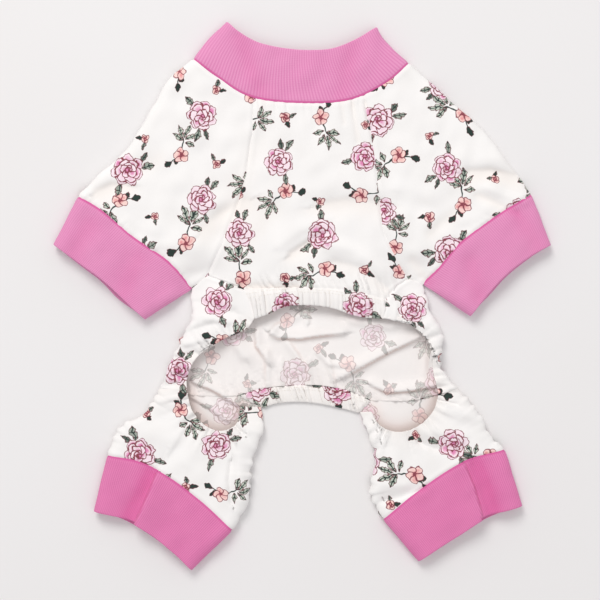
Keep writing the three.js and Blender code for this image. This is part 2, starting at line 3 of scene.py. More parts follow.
import bpy
import numpy as np
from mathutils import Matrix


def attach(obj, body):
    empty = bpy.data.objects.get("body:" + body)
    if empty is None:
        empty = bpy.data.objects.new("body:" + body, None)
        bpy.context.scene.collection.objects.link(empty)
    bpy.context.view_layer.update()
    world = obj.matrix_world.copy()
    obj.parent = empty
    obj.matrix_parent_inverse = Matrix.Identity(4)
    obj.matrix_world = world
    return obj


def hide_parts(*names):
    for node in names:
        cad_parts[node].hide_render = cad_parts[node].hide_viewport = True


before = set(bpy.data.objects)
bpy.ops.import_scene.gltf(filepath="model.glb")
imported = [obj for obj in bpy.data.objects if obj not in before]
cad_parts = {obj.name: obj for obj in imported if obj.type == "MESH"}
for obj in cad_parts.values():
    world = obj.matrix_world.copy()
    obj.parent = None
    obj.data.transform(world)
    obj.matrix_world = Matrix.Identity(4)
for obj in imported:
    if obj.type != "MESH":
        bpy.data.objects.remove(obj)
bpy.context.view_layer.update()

print("frame loaded")

mm = 0.001


def newObject(name, data):
    made = bpy.data.objects.new(name, data)
    bpy.context.scene.collection.objects.link(made)
    return made


# camera straight above; width is what it takes in on the plane of the cloth
overhead = {"width": 480, "height": 1500, "plane": 6, "sensor": 36.0}
camera = newObject("overheadCamera", bpy.data.cameras.new("overheadCamera"))
camera.data.sensor_width = overhead["sensor"]
camera.data.lens = overhead["sensor"] * overhead["height"] / overhead["width"]
camera.location = (0, 0, (overhead["height"] + overhead["plane"]) * mm)
camera.data.clip_start = 0.05
bpy.context.scene.camera = camera

# sizes of the suit in millimetres, as in the part's source; walls and seam gap are thinner here,
# nearer to the real cloth's
suit = {
    "bodyWidth": 190, "bodyLength": 245, "collarDepth": 38.6, "sleeveLength": 143.8,
    "frontCuffDepth": 43.6, "bellyHemDepth": 13.2, "tailHemDepth": 12.8, "thighLength": 65.2,
    "inseamLength": 94.3, "hindCuffDepth": 44.8, "loft": 9.9, "pinchLoft": 3, "pinchReach": 15,
    "foldReach": 8, "mostReach": 0.3, "cuffOverhang": 1.6, "raglanMeet": (0.305, 0.765),
    "clothWall": 1.1, "ribWall": 2.0, "seamGap": 0.16,
}

# corners in plan, in shares of the body's width and length
corners = {
    "neckLeft": (-0.450, 0.788), "neckRight": (0.459, 0.774),
    "tipLeft": (-0.455, 0.036), "tipRight": (0.517, 0.052),
    "pitLeft": (-0.388, 0.079), "pitRight": (0.455, 0.068),
    "bellyLeft": (-0.193, -0.059), "bellyRight": (0.346, -0.059),
    "groinLeft": (-0.589, -0.288), "groinRight": (0.666, -0.288),
    "rimLeft": (-0.476, -0.293), "rimRight": (0.584, -0.307),
    "rimEndLeft": (-0.249, -0.349), "rimEndRight": (0.300, -0.366),
    "crotchLeft": (-0.163, -0.352), "crotchRight": (0.253, -0.368),
}

# corners reached from another one: from, heading in degrees, length, share of it
reaches = {
    "mouthLeft": ("neckLeft", 47.9, "collarDepth", 1.02),
    "mouthRight": ("neckRight", 131.8, "collarDepth", 0.98),
    "shoulderLeft": ("neckLeft", -129.9, "sleeveLength", 1),
    "shoulderRight": ("neckRight", -47, "sleeveLength", 1),
    "frontHemLeft": ("shoulderLeft", -117, "frontCuffDepth", 0.97),
    "frontHemRight": ("shoulderRight", -69.2, "frontCuffDepth", 0.98),
    "frontHeelLeft": ("tipLeft", -146.9, "frontCuffDepth", 1.01),
    "frontHeelRight": ("tipRight", -34.2, "frontCuffDepth", 1.04),
    "casingLeft": ("bellyLeft", 107.8, "bellyHemDepth", 1.78),
    "casingRight": ("bellyRight", 78, "bellyHemDepth", 1.18),
    "tailLeft": ("crotchLeft", 152, "tailHemDepth", 1.62),
    "tailRight": ("crotchRight", 45, "tailHemDepth", 1.06),
    "ankleLeft": ("groinLeft", -128.3, "thighLength", 1.05),
    "ankleRight": ("groinRight", -52.8, "thighLength", 0.95),
    "calfLeft": ("crotchLeft", -103.3, "inseamLength", 1.07),
    "calfRight": ("crotchRight", -77.9, "inseamLength", 0.93),
    "hindHemLeft": ("ankleLeft", -103.3, "hindCuffDepth", 1.01),
    "hindHemRight": ("ankleRight", -72.8, "hindCuffDepth", 1.03),
    "hindHeelLeft": ("calfLeft", -135.7, "hindCuffDepth", 1),
    "hindHeelRight": ("calfRight", -49.5, "hindCuffDepth", 0.96),
}

# bends between two corners: share along, share out to the left of the way
bends = {
    "collarSeam": [(0.11, -0.08), (0.26, -0.168), (0.50, -0.195), (0.73, -0.175), (0.90, -0.09)],
    "collarMouth": [(0.08, -0.066), (0.23, -0.14), (0.50, -0.175), (0.71, -0.157), (0.86, -0.092)],
    "collarSideLeft": [(0.56, 0.037)],
    "collarSideRight": [(0.45, 0.055), (0.76, 0.058)],
    "shoulderLeft": [(0.17, -0.029), (0.35, -0.002), (0.61, 0.039), (0.84, 0.01)],
    "shoulderRight": [(0.29, 0.022), (0.56, 0.047), (0.80, 0.024)],
    "frontSeamLeft": [(0.19, 0.027), (0.46, 0.021), (0.78, 0.041)],
    "frontSeamRight": [(0.28, -0.037), (0.63, -0.053), (0.85, -0.012)],
    "frontHemLeft": [(0.27, 0.016), (0.50, 0.03), (0.83, 0.01)],
    "frontHemRight": [(0.18, -0.044), (0.50, -0.072), (0.78, -0.041)],
    "raglanLeft": [(0.15, 0.03), (0.41, 0.06), (0.64, 0.052)],
    "raglanRight": [(0.28, -0.014), (0.51, -0.041), (0.74, -0.064)],
    "sideLeft": [(0.54, 0.013)],
    "sideRight": [(0.48, -0.072)],
    "hemEndLeft": [(0.44, 0.037)],
    "casing": [(0.14, 0.02), (0.39, 0.042), (0.71, 0.045)],
    "bellyEdge": [(0.13, 0.047), (0.23, 0.094), (0.38, 0.109), (0.59, 0.09), (0.80, 0.023)],
    "rimUpperLeft": [(0.12, 0.017), (0.37, -0.085), (0.69, -0.154), (0.91, -0.083)],
    "rimUpperRight": [(0.11, 0.152), (0.42, 0.24), (0.58, 0.211), (0.80, 0.084)],
    "rimLowerLeft": [(0.19, -0.31), (0.51, -0.506), (0.81, -0.505), (1.02, -0.308)],
    "rimLowerRight": [(0.14, 0.212), (0.45, 0.38), (0.74, 0.362), (0.94, 0.208)],
    "flankLeft": [(0.13, 0.023), (0.22, 0.08), (0.47, 0.05), (0.79, 0.014)],
    "flankRight": [(0.27, -0.004), (0.49, 0.027), (0.76, -0.092), (0.88, -0.057)],
    "thighLeft": [(0.38, 0.031), (0.66, -0.086)],
    "thighRight": [(0.47, 0.018), (0.73, -0.037)],
    "innerLeft": [(0.13, 0.054), (0.43, 0.029), (0.77, 0.068)],
    "innerRight": [(0.32, 0.044), (0.47, 0.04), (0.73, -0.064)],
    "hindSeamLeft": [(0.20, 0.073), (0.38, 0.092), (0.71, 0.062)],
    "hindSeamRight": [(0.27, -0.073), (0.46, -0.074), (0.74, -0.045)],
    "hindHemLeft": [(0.27, 0.081), (0.55, 0.085), (0.85, 0.04)],
    "hindHemRight": [(0.31, -0.058), (0.58, -0.038), (0.85, -0.017)],
    "tailTop": [(0.14, 0.054), (0.37, 0.092), (0.61, 0.101), (0.82, 0.068)],
    "tailEdge": [(0.14, 0.054), (0.39, 0.085), (0.62, 0.072), (0.85, 0.033)],
    "thighBackLeft": [(0.52, -0.049)],
    "thighBackRight": [(0.51, 0.063)],
}

pinches = {
    "pitLeft": 1, "tipLeft": 1, "pitRight": 1, "tipRight": 1,
    "rimEndLeft": 0.87, "crotchLeft": 0.87, "rimEndRight": 0.87, "crotchRight": 0.87,
}


# plan of the seams

def spot(name):
    if name in corners:
        x, y = corners[name]
        return np.array([x * suit["bodyWidth"], y * suit["bodyLength"]])
    start, heading, size, share = reaches[name]
    angle = math.radians(heading)
    return spot(start) + suit[size] * share * np.array([math.cos(angle), math.sin(angle)])


def smoothLine(points):
    # centripetal Catmull-Rom, run from 0 to 1 by its length
    points = np.array(points, float)
    ends = np.vstack([2 * points[0] - points[1], points, 2 * points[-1] - points[-2]])
    t = np.linspace(0, 1, 50)[:, None]
    pieces = []
    for before, start, end, after in zip(ends[:-3], ends[1:-2], ends[2:-1], ends[3:]):
        a, b, c = (max(np.linalg.norm(q - p), 1e-6) ** 0.5
                   for p, q in ((before, start), (start, end), (end, after)))
        leave = ((start - before) / a - (end - before) / (a + b) + (end - start) / b) * b
        arrive = ((end - start) / b - (after - start) / (b + c) + (after - end) / c) * b
        pieces.append(start + leave * t + (3 * (end - start) - 2 * leave - arrive) * t ** 2
                      + (2 * (start - end) + leave + arrive) * t ** 3)
    path = np.vstack(pieces)
    run = np.concatenate([[0], np.cumsum(np.linalg.norm(np.diff(path, axis=0), axis=1))])
    run /= run[-1]

    def curve(share):
        share = np.clip(share, 0, 1)
        return np.stack([np.interp(share, run, path[:, 0]), np.interp(share, run, path[:, 1])], -1)

    return curve


def line(start, end, rows):
    run = end - start
    side = np.array([-run[1], run[0]])
    return smoothLine([start] + [start + run * along + side * out for along, out in rows] + [end])


def between(startName, endName, bendName=""):
    return line(spot(startName), spot(endName), bends.get(bendName, []))


def backwards(curve):
    return lambda share: curve(1 - np.asarray(share))


def stretch(curve, start, end):
    return lambda share: curve(start + (end - start) * np.asarray(share))


def chain(*links):
    # each link is a curve and the share of the whole at which it ends
    def curve(share):
        share = np.clip(np.asarray(share, float), 0, 1)
        place = np.zeros(share.shape + (2,))
        before = 0
        for link, until in links:
            inside = (share >= before) & (share <= until)
            place[inside] = link((share[inside] - before) / (until - before))
            before = until
        return place

    return curve


def patch(start, end, left, right):
    def plan(u, v):
        u, v = np.broadcast_arrays(np.asarray(u, float), np.asarray(v, float))
        uu, vv = u[..., None], v[..., None]
        ruled = start(v) * (1 - uu) + end(v) * uu + left(u) * (1 - vv) + right(u) * vv
        first = start(0.0) * (1 - vv) + start(1.0) * vv
        last = end(0.0) * (1 - vv) + end(1.0) * vv
        return ruled - first * (1 - uu) - last * uu

    return plan


def drawnIn(plan, start=None, end=None, left=None, right=None):
    start, end, left, right = (
        suit["seamGap"] / 2 if trim is None else trim for trim in (start, end, left, right))

    def drawn(u, v):
        length = np.linalg.norm(plan(0, v) - plan(1, v), axis=-1)
        across = np.linalg.norm(plan(u, 0) - plan(u, 1), axis=-1)
        return plan(start / length + (1 - (start + end) / length) * u,
                    left / across + (1 - (left + right) / across) * v)

    return drawn


collarSeam = between("neckLeft", "neckRight", "collarSeam")
casing = between("casingLeft", "casingRight", "casing")
tailTop = between("tailLeft", "tailRight", "tailTop")
bellyEdge = between("bellyLeft", "bellyRight", "bellyEdge")
tailEdge = between("crotchLeft", "crotchRight", "tailEdge")

# every seam of a side: from corner, to corner, name of its bends
seamRows = {
    "pit": ("pit", "tip", ""), "shoulder": ("neck", "shoulder", "shoulder"),
    "frontSeam": ("shoulder", "tip", "frontSeam"), "frontHem": ("frontHem", "frontHeel", "frontHem"),
    "side": ("pit", "casing", "side"), "hemEnd": ("casing", "belly", "hemEnd"),
    "rimUpper": ("belly", "rim", "rimUpper"), "rimLower": ("rim", "rimEnd", "rimLower"),
    "flank": ("tip", "groin", "flank"), "groin": ("groin", "rim", ""),
    "crotch": ("rimEnd", "crotch", ""), "thigh": ("groin", "ankle", "thigh"),
    "thighBack": ("groin", "tail", "thighBack"), "inner": ("crotch", "calf", "inner"),
    "hindSeam": ("ankle", "calf", "hindSeam"), "hindHem": ("hindHem", "hindHeel", "hindHem"),
    "tailEnd": ("tail", "crotch", ""), "frontOuter": ("shoulder", "frontHem", ""),
    "frontInner": ("tip", "frontHeel", ""), "hindOuter": ("ankle", "hindHem", ""),
    "hindInner": ("calf", "hindHeel", ""),
}
sides = {}
for key, suffix, meet in (("left", "Left", 0), ("right", "Right", 1)):
    seams = {name: between(a + suffix, b + suffix, c + suffix) for name, (a, b, c) in seamRows.items()}
    seams["meet"] = suit["raglanMeet"][meet]
    seams["neckShare"] = meet
    seams["seed"] = 31 + meet
    seams["raglan"] = line(collarSeam(seams["meet"]), spot("pit" + suffix), bends["raglan" + suffix])
    sides[key] = seams
print("seams laid out")


# heights of the lying cloth

# creases of the upper layer: points on the photograph, width to the left and to the right of
# the way they run, height; all but the points in millimetres
upperCreases = [
    (((291, 254), (306, 244), (322, 234)), 3, 8, -1.9),
    (((280, 246), (300, 230), (326, 221)), 7, 5, 1.0),
    (((318, 206), (350, 201), (380, 204)), 5, 13, -1.3),
    (((308, 190), (345, 184), (384, 190)), 12, 8, 0.8),
    (((328, 243), (356, 252), (390, 276)), 6, 9, 1.7),
    (((334, 262), (360, 268), (386, 288)), 4, 7, -1.0),
    (((238, 286), (264, 289), (296, 288)), 5, 2.2, -1.8),
    (((352, 104), (358, 142)), 3, 3, -0.8),
    (((341, 104), (344, 124)), 2.5, 2.5, -0.6),
    (((365, 104), (369, 128)), 3, 2.5, -0.7),
    (((244, 244), (272, 212)), 11, 9, -0.8),
    (((232, 196), (262, 150)), 15, 15, -0.6),
    (((270, 170), (320, 160)), 16, 12, 0.6),
    (((98, 192), (112, 186), (126, 186)), 4, 10, -1.7),
    (((128, 176), (160, 160)), 8, 7, -0.8),
    (((203, 231), (222, 214), (246, 202)), 6, 13, -1.3),
    (((150, 226), (180, 250)), 12, 10, 0.7),
    (((468, 172), (490, 171), (514, 177)), 4, 11, -1.8),
    (((452, 160), (505, 158)), 9, 8, 0.9),
    (((486, 188), (524, 203)), 4, 4, 1.0),
    (((478, 196), (516, 213)), 4, 5, -1.1),
    (((430, 234), (454, 214)), 6, 7, -0.9),
    (((400, 150), (420, 190)), 14, 12, 0.7),
    (((412, 262), (428, 282)), 5, 4, -0.9),
    (((200, 302), (216, 309), (234, 312)), 4, 6, -1.6),
    (((206, 318), (228, 322)), 4, 3, 1.0),
    (((190, 331), (214, 323)), 3, 5, -1.4),
    (((181, 345), (205, 339)), 4, 3, 1.2),
    (((173, 359), (196, 353)), 3, 4, -1.3),
    (((168, 374), (190, 367)), 4, 3, 1.0),
    (((160, 388), (186, 380)), 3, 4, -1.1),
    (((158, 402), (184, 396)), 4, 3, 0.9),
    (((398, 298), (412, 304), (428, 316)), 5, 4, -1.3),
    (((404, 322), (424, 326)), 3, 4, 1.0),
    (((426, 338), (446, 334)), 3, 4, -1.2),
    (((430, 352), (452, 350)), 3, 4, 1.2),
    (((432, 366), (454, 368)), 3, 3, -1.2),
    (((432, 382), (456, 386)), 4, 3, 1.1),
    (((430, 398), (456, 404)), 3, 4, -1.2),
    (((418, 442), (434, 449), (462, 450)), 5, 2.5, -1.6),
    (((424, 430), (462, 436)), 6, 5, 1.1),
    (((383, 501), (402, 497), (424, 487)), 6, 2.5, -1.6),
    (((380, 486), (404, 484)), 5, 5, 0.9),
    (((447, 408), (472, 416)), 6, 6, 1.4),
    (((400, 446), (392, 474)), 9, 8, 0.8),
    (((231, 462), (229, 480), (232, 502)), 6, 2.5, -1.7),
    (((240, 456), (240, 500)), 5, 6, 0.9),
    (((187, 430), (176, 448), (161, 467)), 7, 2.5, -1.2),
    (((200, 436), (188, 462)), 9, 6, 0.8),
    (((140, 420), (176, 418)), 9, 7, -0.8),
    (((150, 436), (180, 438)), 8, 8, 0.7),
    (((161, 467), (149, 496), (137, 524)), 15, 1.0, 2.0),
    (((152, 474), (141, 498), (130, 520)), 5, 9, -1.7),
    (((462, 463), (472, 486), (480, 514)), 1.0, 15, 2.0),
    (((474, 464), (483, 486), (491, 512)), 9, 6, -1.8),
    (((88, 226), (72, 256)), 11, 9, -0.7),
    (((520, 222), (538, 248)), 10, 10, -0.6),
    (((138, 262), (120, 300)), 9, 12, -0.7),
    (((470, 262), (478, 296)), 9, 9, -0.6),
    (((240, 38), (262, 98)), 9, 8, -0.7),
    (((352, 48), (342, 96)), 9, 9, -0.6),
]

# folds of the under layer that show through the opening, in the same columns
underCreases = [
    (((271, 333), (277, 337), (300, 338), (320, 335), (342, 333)), 8, 1.1, 2.6),
    (((271, 333), (276, 326), (290, 320), (304, 311)), 1.6, 5, 1.5),
    (((288, 342), (297, 354), (304, 366)), 1.3, 5, 1.4),
    (((256, 333), (257, 346), (268, 362)), 6, 1.2, 2.2),
    (((306, 303), (308, 323)), 1.3, 4, 1.7),
    (((343, 377), (368, 363), (390, 351), (418, 338)), 9, 1.2, 2.6),
    (((372, 385), (388, 392), (412, 390), (438, 385)), 7, 1.1, 2.4),
    (((425, 358), (425, 384)), 2, 2, 0.9),
    (((266, 352), (267, 384)), 4, 1.2, 1.3),
    (((283, 362), (282, 388)), 1.3, 4, 1.2),
    (((308, 360), (309, 388)), 4, 1.3, 1.3),
    (((331, 364), (334, 388)), 1.4, 4, 1.2),
    (((318, 352), (330, 364), (352, 366)), 5, 3, 1.4),
    (((228, 330), (244, 356)), 9, 5, 1.8),
    (((194, 382), (214, 390), (236, 404)), 6, 1.6, 2.2),
    (((190, 396), (210, 408), (226, 420)), 6, 2.2, 1.3),
    (((350, 320), (392, 326)), 9, 5, 1.8),
]


def onPlan(points):
    # photograph pixels to millimetres
    return (np.array(points, float) * (1, -1) + (-300, 300)) * 0.8


def easedIn(gap, reach, least=0):
    # from that least share at an edge up to 1 at that distance from it
    return np.clip(gap / reach, least, 1)


def nearCrease(place, points):
    # how far away a crease is, and on which of its sides the place lies
    route = onPlan(points)
    nearest = np.full(place.shape[:-1], 1e9)
    onLeft = np.zeros(place.shape[:-1])
    for start, end in zip(route[:-1], route[1:]):
        run = end - start
        away = place - start
        share = np.clip(away @ run / (run @ run), 0, 1)
        reach = np.linalg.norm(away - share[..., None] * run, axis=-1)
        toLeft = (run[0] * away[..., 1] - run[1] * away[..., 0]) > 0
        onLeft = np.where(reach < nearest, toLeft, onLeft)
        nearest = np.minimum(reach, nearest)
    return nearest, onLeft > 0


def withThird(flat, third):
    # gives each point a third number: its height, or the painted shade of its cloth
    return np.concatenate([flat, np.broadcast_to(third, flat.shape[:2])[..., None]], axis=2)


def turnBy(angle):
    return np.array([[math.cos(angle), -math.sin(angle)], [math.sin(angle), math.cos(angle)]])


def creaseHeight(place, rows, strength=1.5, narrow=0.85):
    rise = np.zeros(place.shape[:-1])
    for points, wideLeft, wideRight, height in rows:
        nearest, onLeft = nearCrease(place, points)
        wide = np.where(onLeft, wideLeft, wideRight)
        rise += strength * height * np.exp(-(nearest / (wide * narrow)) ** 2)
    return rise


def footShade(place, rows):
    # painted shade: 1 along the foot of a fold's steep side, where the fold hangs over the cloth beside it
    shade = np.zeros(place.shape[:-1])
    for points, wideLeft, wideRight, height in rows:
        if height > 0 and max(wideLeft, wideRight) > 2.5 * min(wideLeft, wideRight):
            nearest, onLeft = nearCrease(place, points)
            ends = [np.linalg.norm(place - end, axis=-1) for end in onPlan(points)[[0, -1]]]
            fading = easedIn(np.minimum(*ends), 12) * min(1, height / 2.4)
            foot = np.exp(-((nearest - 0.9) / 1.5) ** 2) * fading
            shade = np.maximum(shade, foot * (onLeft == (wideLeft < wideRight)))
    return shade


def ripple(place, size, seed, waves=7):
    # soft uneven waves of about that length, the same on every run
    source = np.random.RandomState(seed)
    total = np.zeros(place.shape[:-1])
    for _ in range(waves):
        angle = source.uniform(0, 2 * math.pi)
        length = size * source.uniform(0.7, 1.5)
        way = np.array([math.cos(angle), math.sin(angle)]) * 2 * math.pi / length
        total += np.sin(place @ way + source.uniform(0, 2 * math.pi))
    return total / math.sqrt(waves)


# slow swells of a layer, in millimetres: height, size, seed
upperSwells = ((0.55, 46, 3), (0.28, 19, 8))
underSwell = (0.25, 30, 5)
# the under layer lies a little high in the opening: its middle and half its size there
openingRise = {"height": 3.0, "middle": (12, -34), "half": (62, 26)}


def upperHeight(place):
    rise = suit["loft"]
    for height, size, seed in upperSwells:
        rise = rise + height * ripple(place, size, seed)
    rise = rise + creaseHeight(place, upperCreases)
    for name, share in pinches.items():
        away = np.linalg.norm(place - spot(name), axis=-1)
        near = np.exp(-(away / (suit["pinchReach"] * share)) ** 2)
        rise = rise * (1 - near) + suit["pinchLoft"] * near
    return suit["clothWall"] / 2 + rise


def underHeight(place, wall):
    height, size, seed = underSwell
    rise = creaseHeight(place, underCreases, 1.7, 0.78) + height * ripple(place, size, seed)
    reach = (place - openingRise["middle"]) / openingRise["half"]
    rise += openingRise["height"] * np.exp(-reach[..., 0] ** 4 - reach[..., 1] ** 4)
    return wall / 2 + np.maximum(rise, 0)


def paintedCreaseShade(place, rows):
    # 1 in the deep creases: painted shade, for the shade that falls there between layers of thin cloth
    deep = 2.2
    return easedIn(-creaseHeight(place, rows), deep)


# how uneven gathers are: waves that shift and deepen them, and finer ones on top
uneven = {"waves": 4, "shift": 0.9, "deepen": 0.28, "deepenOver": 0.8, "fine": 0.35, "finePitch": 0.47,
          "fineShift": 1.7}


def gathers(along, away, pitch, height, reach, seed):
    # ripples square to an elastic edge, uneven in step and depth, dying away from it
    source = np.random.RandomState(seed)
    phase = np.zeros(along.shape)
    depth = np.ones(along.shape)
    turns = 2 * math.pi * along
    for _ in range(uneven["waves"]):
        length = pitch * source.uniform(2.5, 7)
        phase = phase + uneven["shift"] * np.sin(turns / length + source.uniform(0, 6.3))
        deeper = np.sin(turns / (length * uneven["deepenOver"]) + source.uniform(0, 6.3))
        depth = depth + uneven["deepen"] * deeper
    wave = np.cos(turns / pitch + phase)
    fine = uneven["fine"] * np.cos(turns / (pitch * uneven["finePitch"]) + uneven["fineShift"] * phase)
    return height * depth * (wave + fine) * np.exp(-(away / reach) ** 2)


def nearPath(place, curve, steps=180):
    # how far along a path its nearest point lies, and how far away that is
    path = curve(np.linspace(0, 1, steps))
    leg = np.diff(path, axis=0, append=2 * path[-1:] - path[-2:-1])
    size = np.maximum(np.linalg.norm(leg, axis=1), 1e-6)
    run = np.concatenate([[0], np.cumsum(size[:-1])])
    flat = place.reshape(-1, 2)
    gap = np.linalg.norm(flat[:, None] - path[None], axis=2)
    nearest = np.argmin(gap, axis=1)
    way = leg[nearest] / size[nearest, None]
    along = run[nearest] + np.sum((flat - path[nearest]) * way, axis=1)
    away = np.take_along_axis(gap, nearest[:, None], axis=1)[:, 0]
    return along.reshape(place.shape[:-1]), away.reshape(place.shape[:-1]), run[-1]


def puckers(place, curve, look, seed):
    # gathers square to a path, fading at both of its ends
    along, away, total = nearPath(place, curve)
    fade = easedIn(along, 10) * easedIn(total - along, 8)
    return gathers(along, away, look["pitch"], look["height"], look["reach"], seed) * fade


# elastic rims of the opening draw the cloth in; the sides are only a little uneven
rimLook = {"pitch": 6.2, "height": 0.95, "reach": 15}
sideLook = {"pitch": 12.5, "height": 0.75, "reach": 13}


def rimPath(seams):
    return chain((seams["rimUpper"], 0.55), (seams["rimLower"], 1))


def sidePath(seams):
    return chain((seams["flank"], 0.6), (seams["thigh"], 1))


# sections through two layers

def turnStations(edge, steps=7):
    angles = np.arange(steps - 1, -steps, -1) / steps * math.pi / 2
    return [{"layer": "under" if angle < 0 else "upper", "edge": edge, "turn": 1 - math.cos(angle),
             "lift": abs(math.sin(angle))} for angle in angles]


def flatStations(layer, steps, nearEdge, farEdge):
    return [{"layer": layer, "share": step / steps, "near": nearEdge, "far": farEdge, "lift": 1}
            for step in range(steps + 1)]


def across(station, reach):
    if "turn" in station:
        inward = reach * station["turn"]
        return 1 - inward if station["edge"] else inward
    start = reach * station["near"]
    return start + (1 - start - reach * station["far"]) * station["share"]


def layered(plans, wall, rows, stations, lift=0):
    # middle points of a two layer piece, rows along it by stations across it; 1 where it is the upper
    u = np.linspace(0, 1, rows + 1)
    place = np.zeros((rows + 1, len(stations), 2))
    for column, station in enumerate(stations):
        plan = plans[station["layer"]]
        width = np.linalg.norm(plan(u, 0) - plan(u, 1), axis=-1)
        reach = np.minimum(suit["foldReach"] / width, suit["mostReach"])
        place[:, column] = plan(u, across(station, reach))
    share = np.array([0.5 + (0.5 if station["layer"] == "upper" else -0.5) * station["lift"]
                      for station in stations])
    low, high = underHeight(place, wall) + lift, upperHeight(place)
    height = low + (high - low) * share
    return withThird(place, height), np.broadcast_to(share, height.shape)


def closedSection(upperSteps, underSteps):
    return (flatStations("upper", upperSteps, 1, 1)[::-1] + turnStations(0)
            + flatStations("under", underSteps, 1, 1) + turnStations(1)[::-1])


def openSection(upperSteps, underSteps):
    return (flatStations("upper", upperSteps, 1, 0)[::-1] + turnStations(0)
            + flatStations("under", underSteps, 1, 0))


def closeRing(grid, cloth=None):
    # the last column lies almost on the first, so that the pattern's jump has no width
    ending = grid[:, :1] + (grid[:, -1:] - grid[:, :1]) * 0.01
    closed = np.concatenate([grid, ending], axis=1)
    if cloth is None:
        return closed
    return closed, np.concatenate([cloth, 2 * cloth[:, -1:] - cloth[:, -2:-1]], axis=1)


def mirrorAcross(startName, endName):
    # the turn-over of a direction at a fold between two corners
    run = spot(endName) - spot(startName)
    normal = np.array([-run[1], run[0]]) / np.linalg.norm(run)
    return np.eye(2) - 2 * np.outer(normal, normal)


def clothPlaces(grid, stations, start, firstFold, secondFold):
    # where each point lay on the flat cloth: a row is followed from its first column, by true
    # length on the turns, and its direction is turned over at each fold
    step = np.diff(grid, axis=1)
    flat = step[..., :2]
    size = np.linalg.norm(flat, axis=2)
    way = flat / np.maximum(size, 1e-9)[..., None]
    turned = np.array(["turn" in a or "turn" in b for a, b in zip(stations[:-1], stations[1:])])
    size = np.where(turned, np.linalg.norm(step, axis=2), size)
    cloth = np.zeros(grid.shape[:2] + (2,))
    cloth[:, 0] = start
    view, onUnder = np.eye(2), False
    for column, station in enumerate(stations[1:]):
        if station["layer"] == "under" and not onUnder:
            view, onUnder = firstFold, True
        elif station["layer"] != "under" and onUnder:
            view, onUnder = firstFold @ secondFold, False
        cloth[:, column + 1] = cloth[:, column] + (way[:, column] @ view.T) * size[:, column][:, None]
    return cloth


def runs(grid):
    # distance along the rows' way and along the columns' way, in millimetres
    down = np.linalg.norm(np.diff(grid, axis=0), axis=2)
    over = np.linalg.norm(np.diff(grid, axis=1), axis=2)
    along = np.vstack([np.zeros((1, grid.shape[1])), np.cumsum(down, axis=0)])
    width = np.hstack([np.zeros((grid.shape[0], 1)), np.cumsum(over, axis=1)])
    return along, width


def normals(grid, closed):
    if closed:
        over = np.roll(grid, -1, axis=1) - np.roll(grid, 1, axis=1)
    else:
        over = np.gradient(grid, axis=1)
    down = np.gradient(grid, axis=0)
    way = np.cross(down, over)
    return way / np.maximum(np.linalg.norm(way, axis=2, keepdims=True), 1e-9)


# share of the relief that the inner face follows, how round the rims are, and the least height
# over the floor in millimetres
sheetLook = {"innerRelief": 0.6, "rimRound": 0.8, "lowest": 0.01}


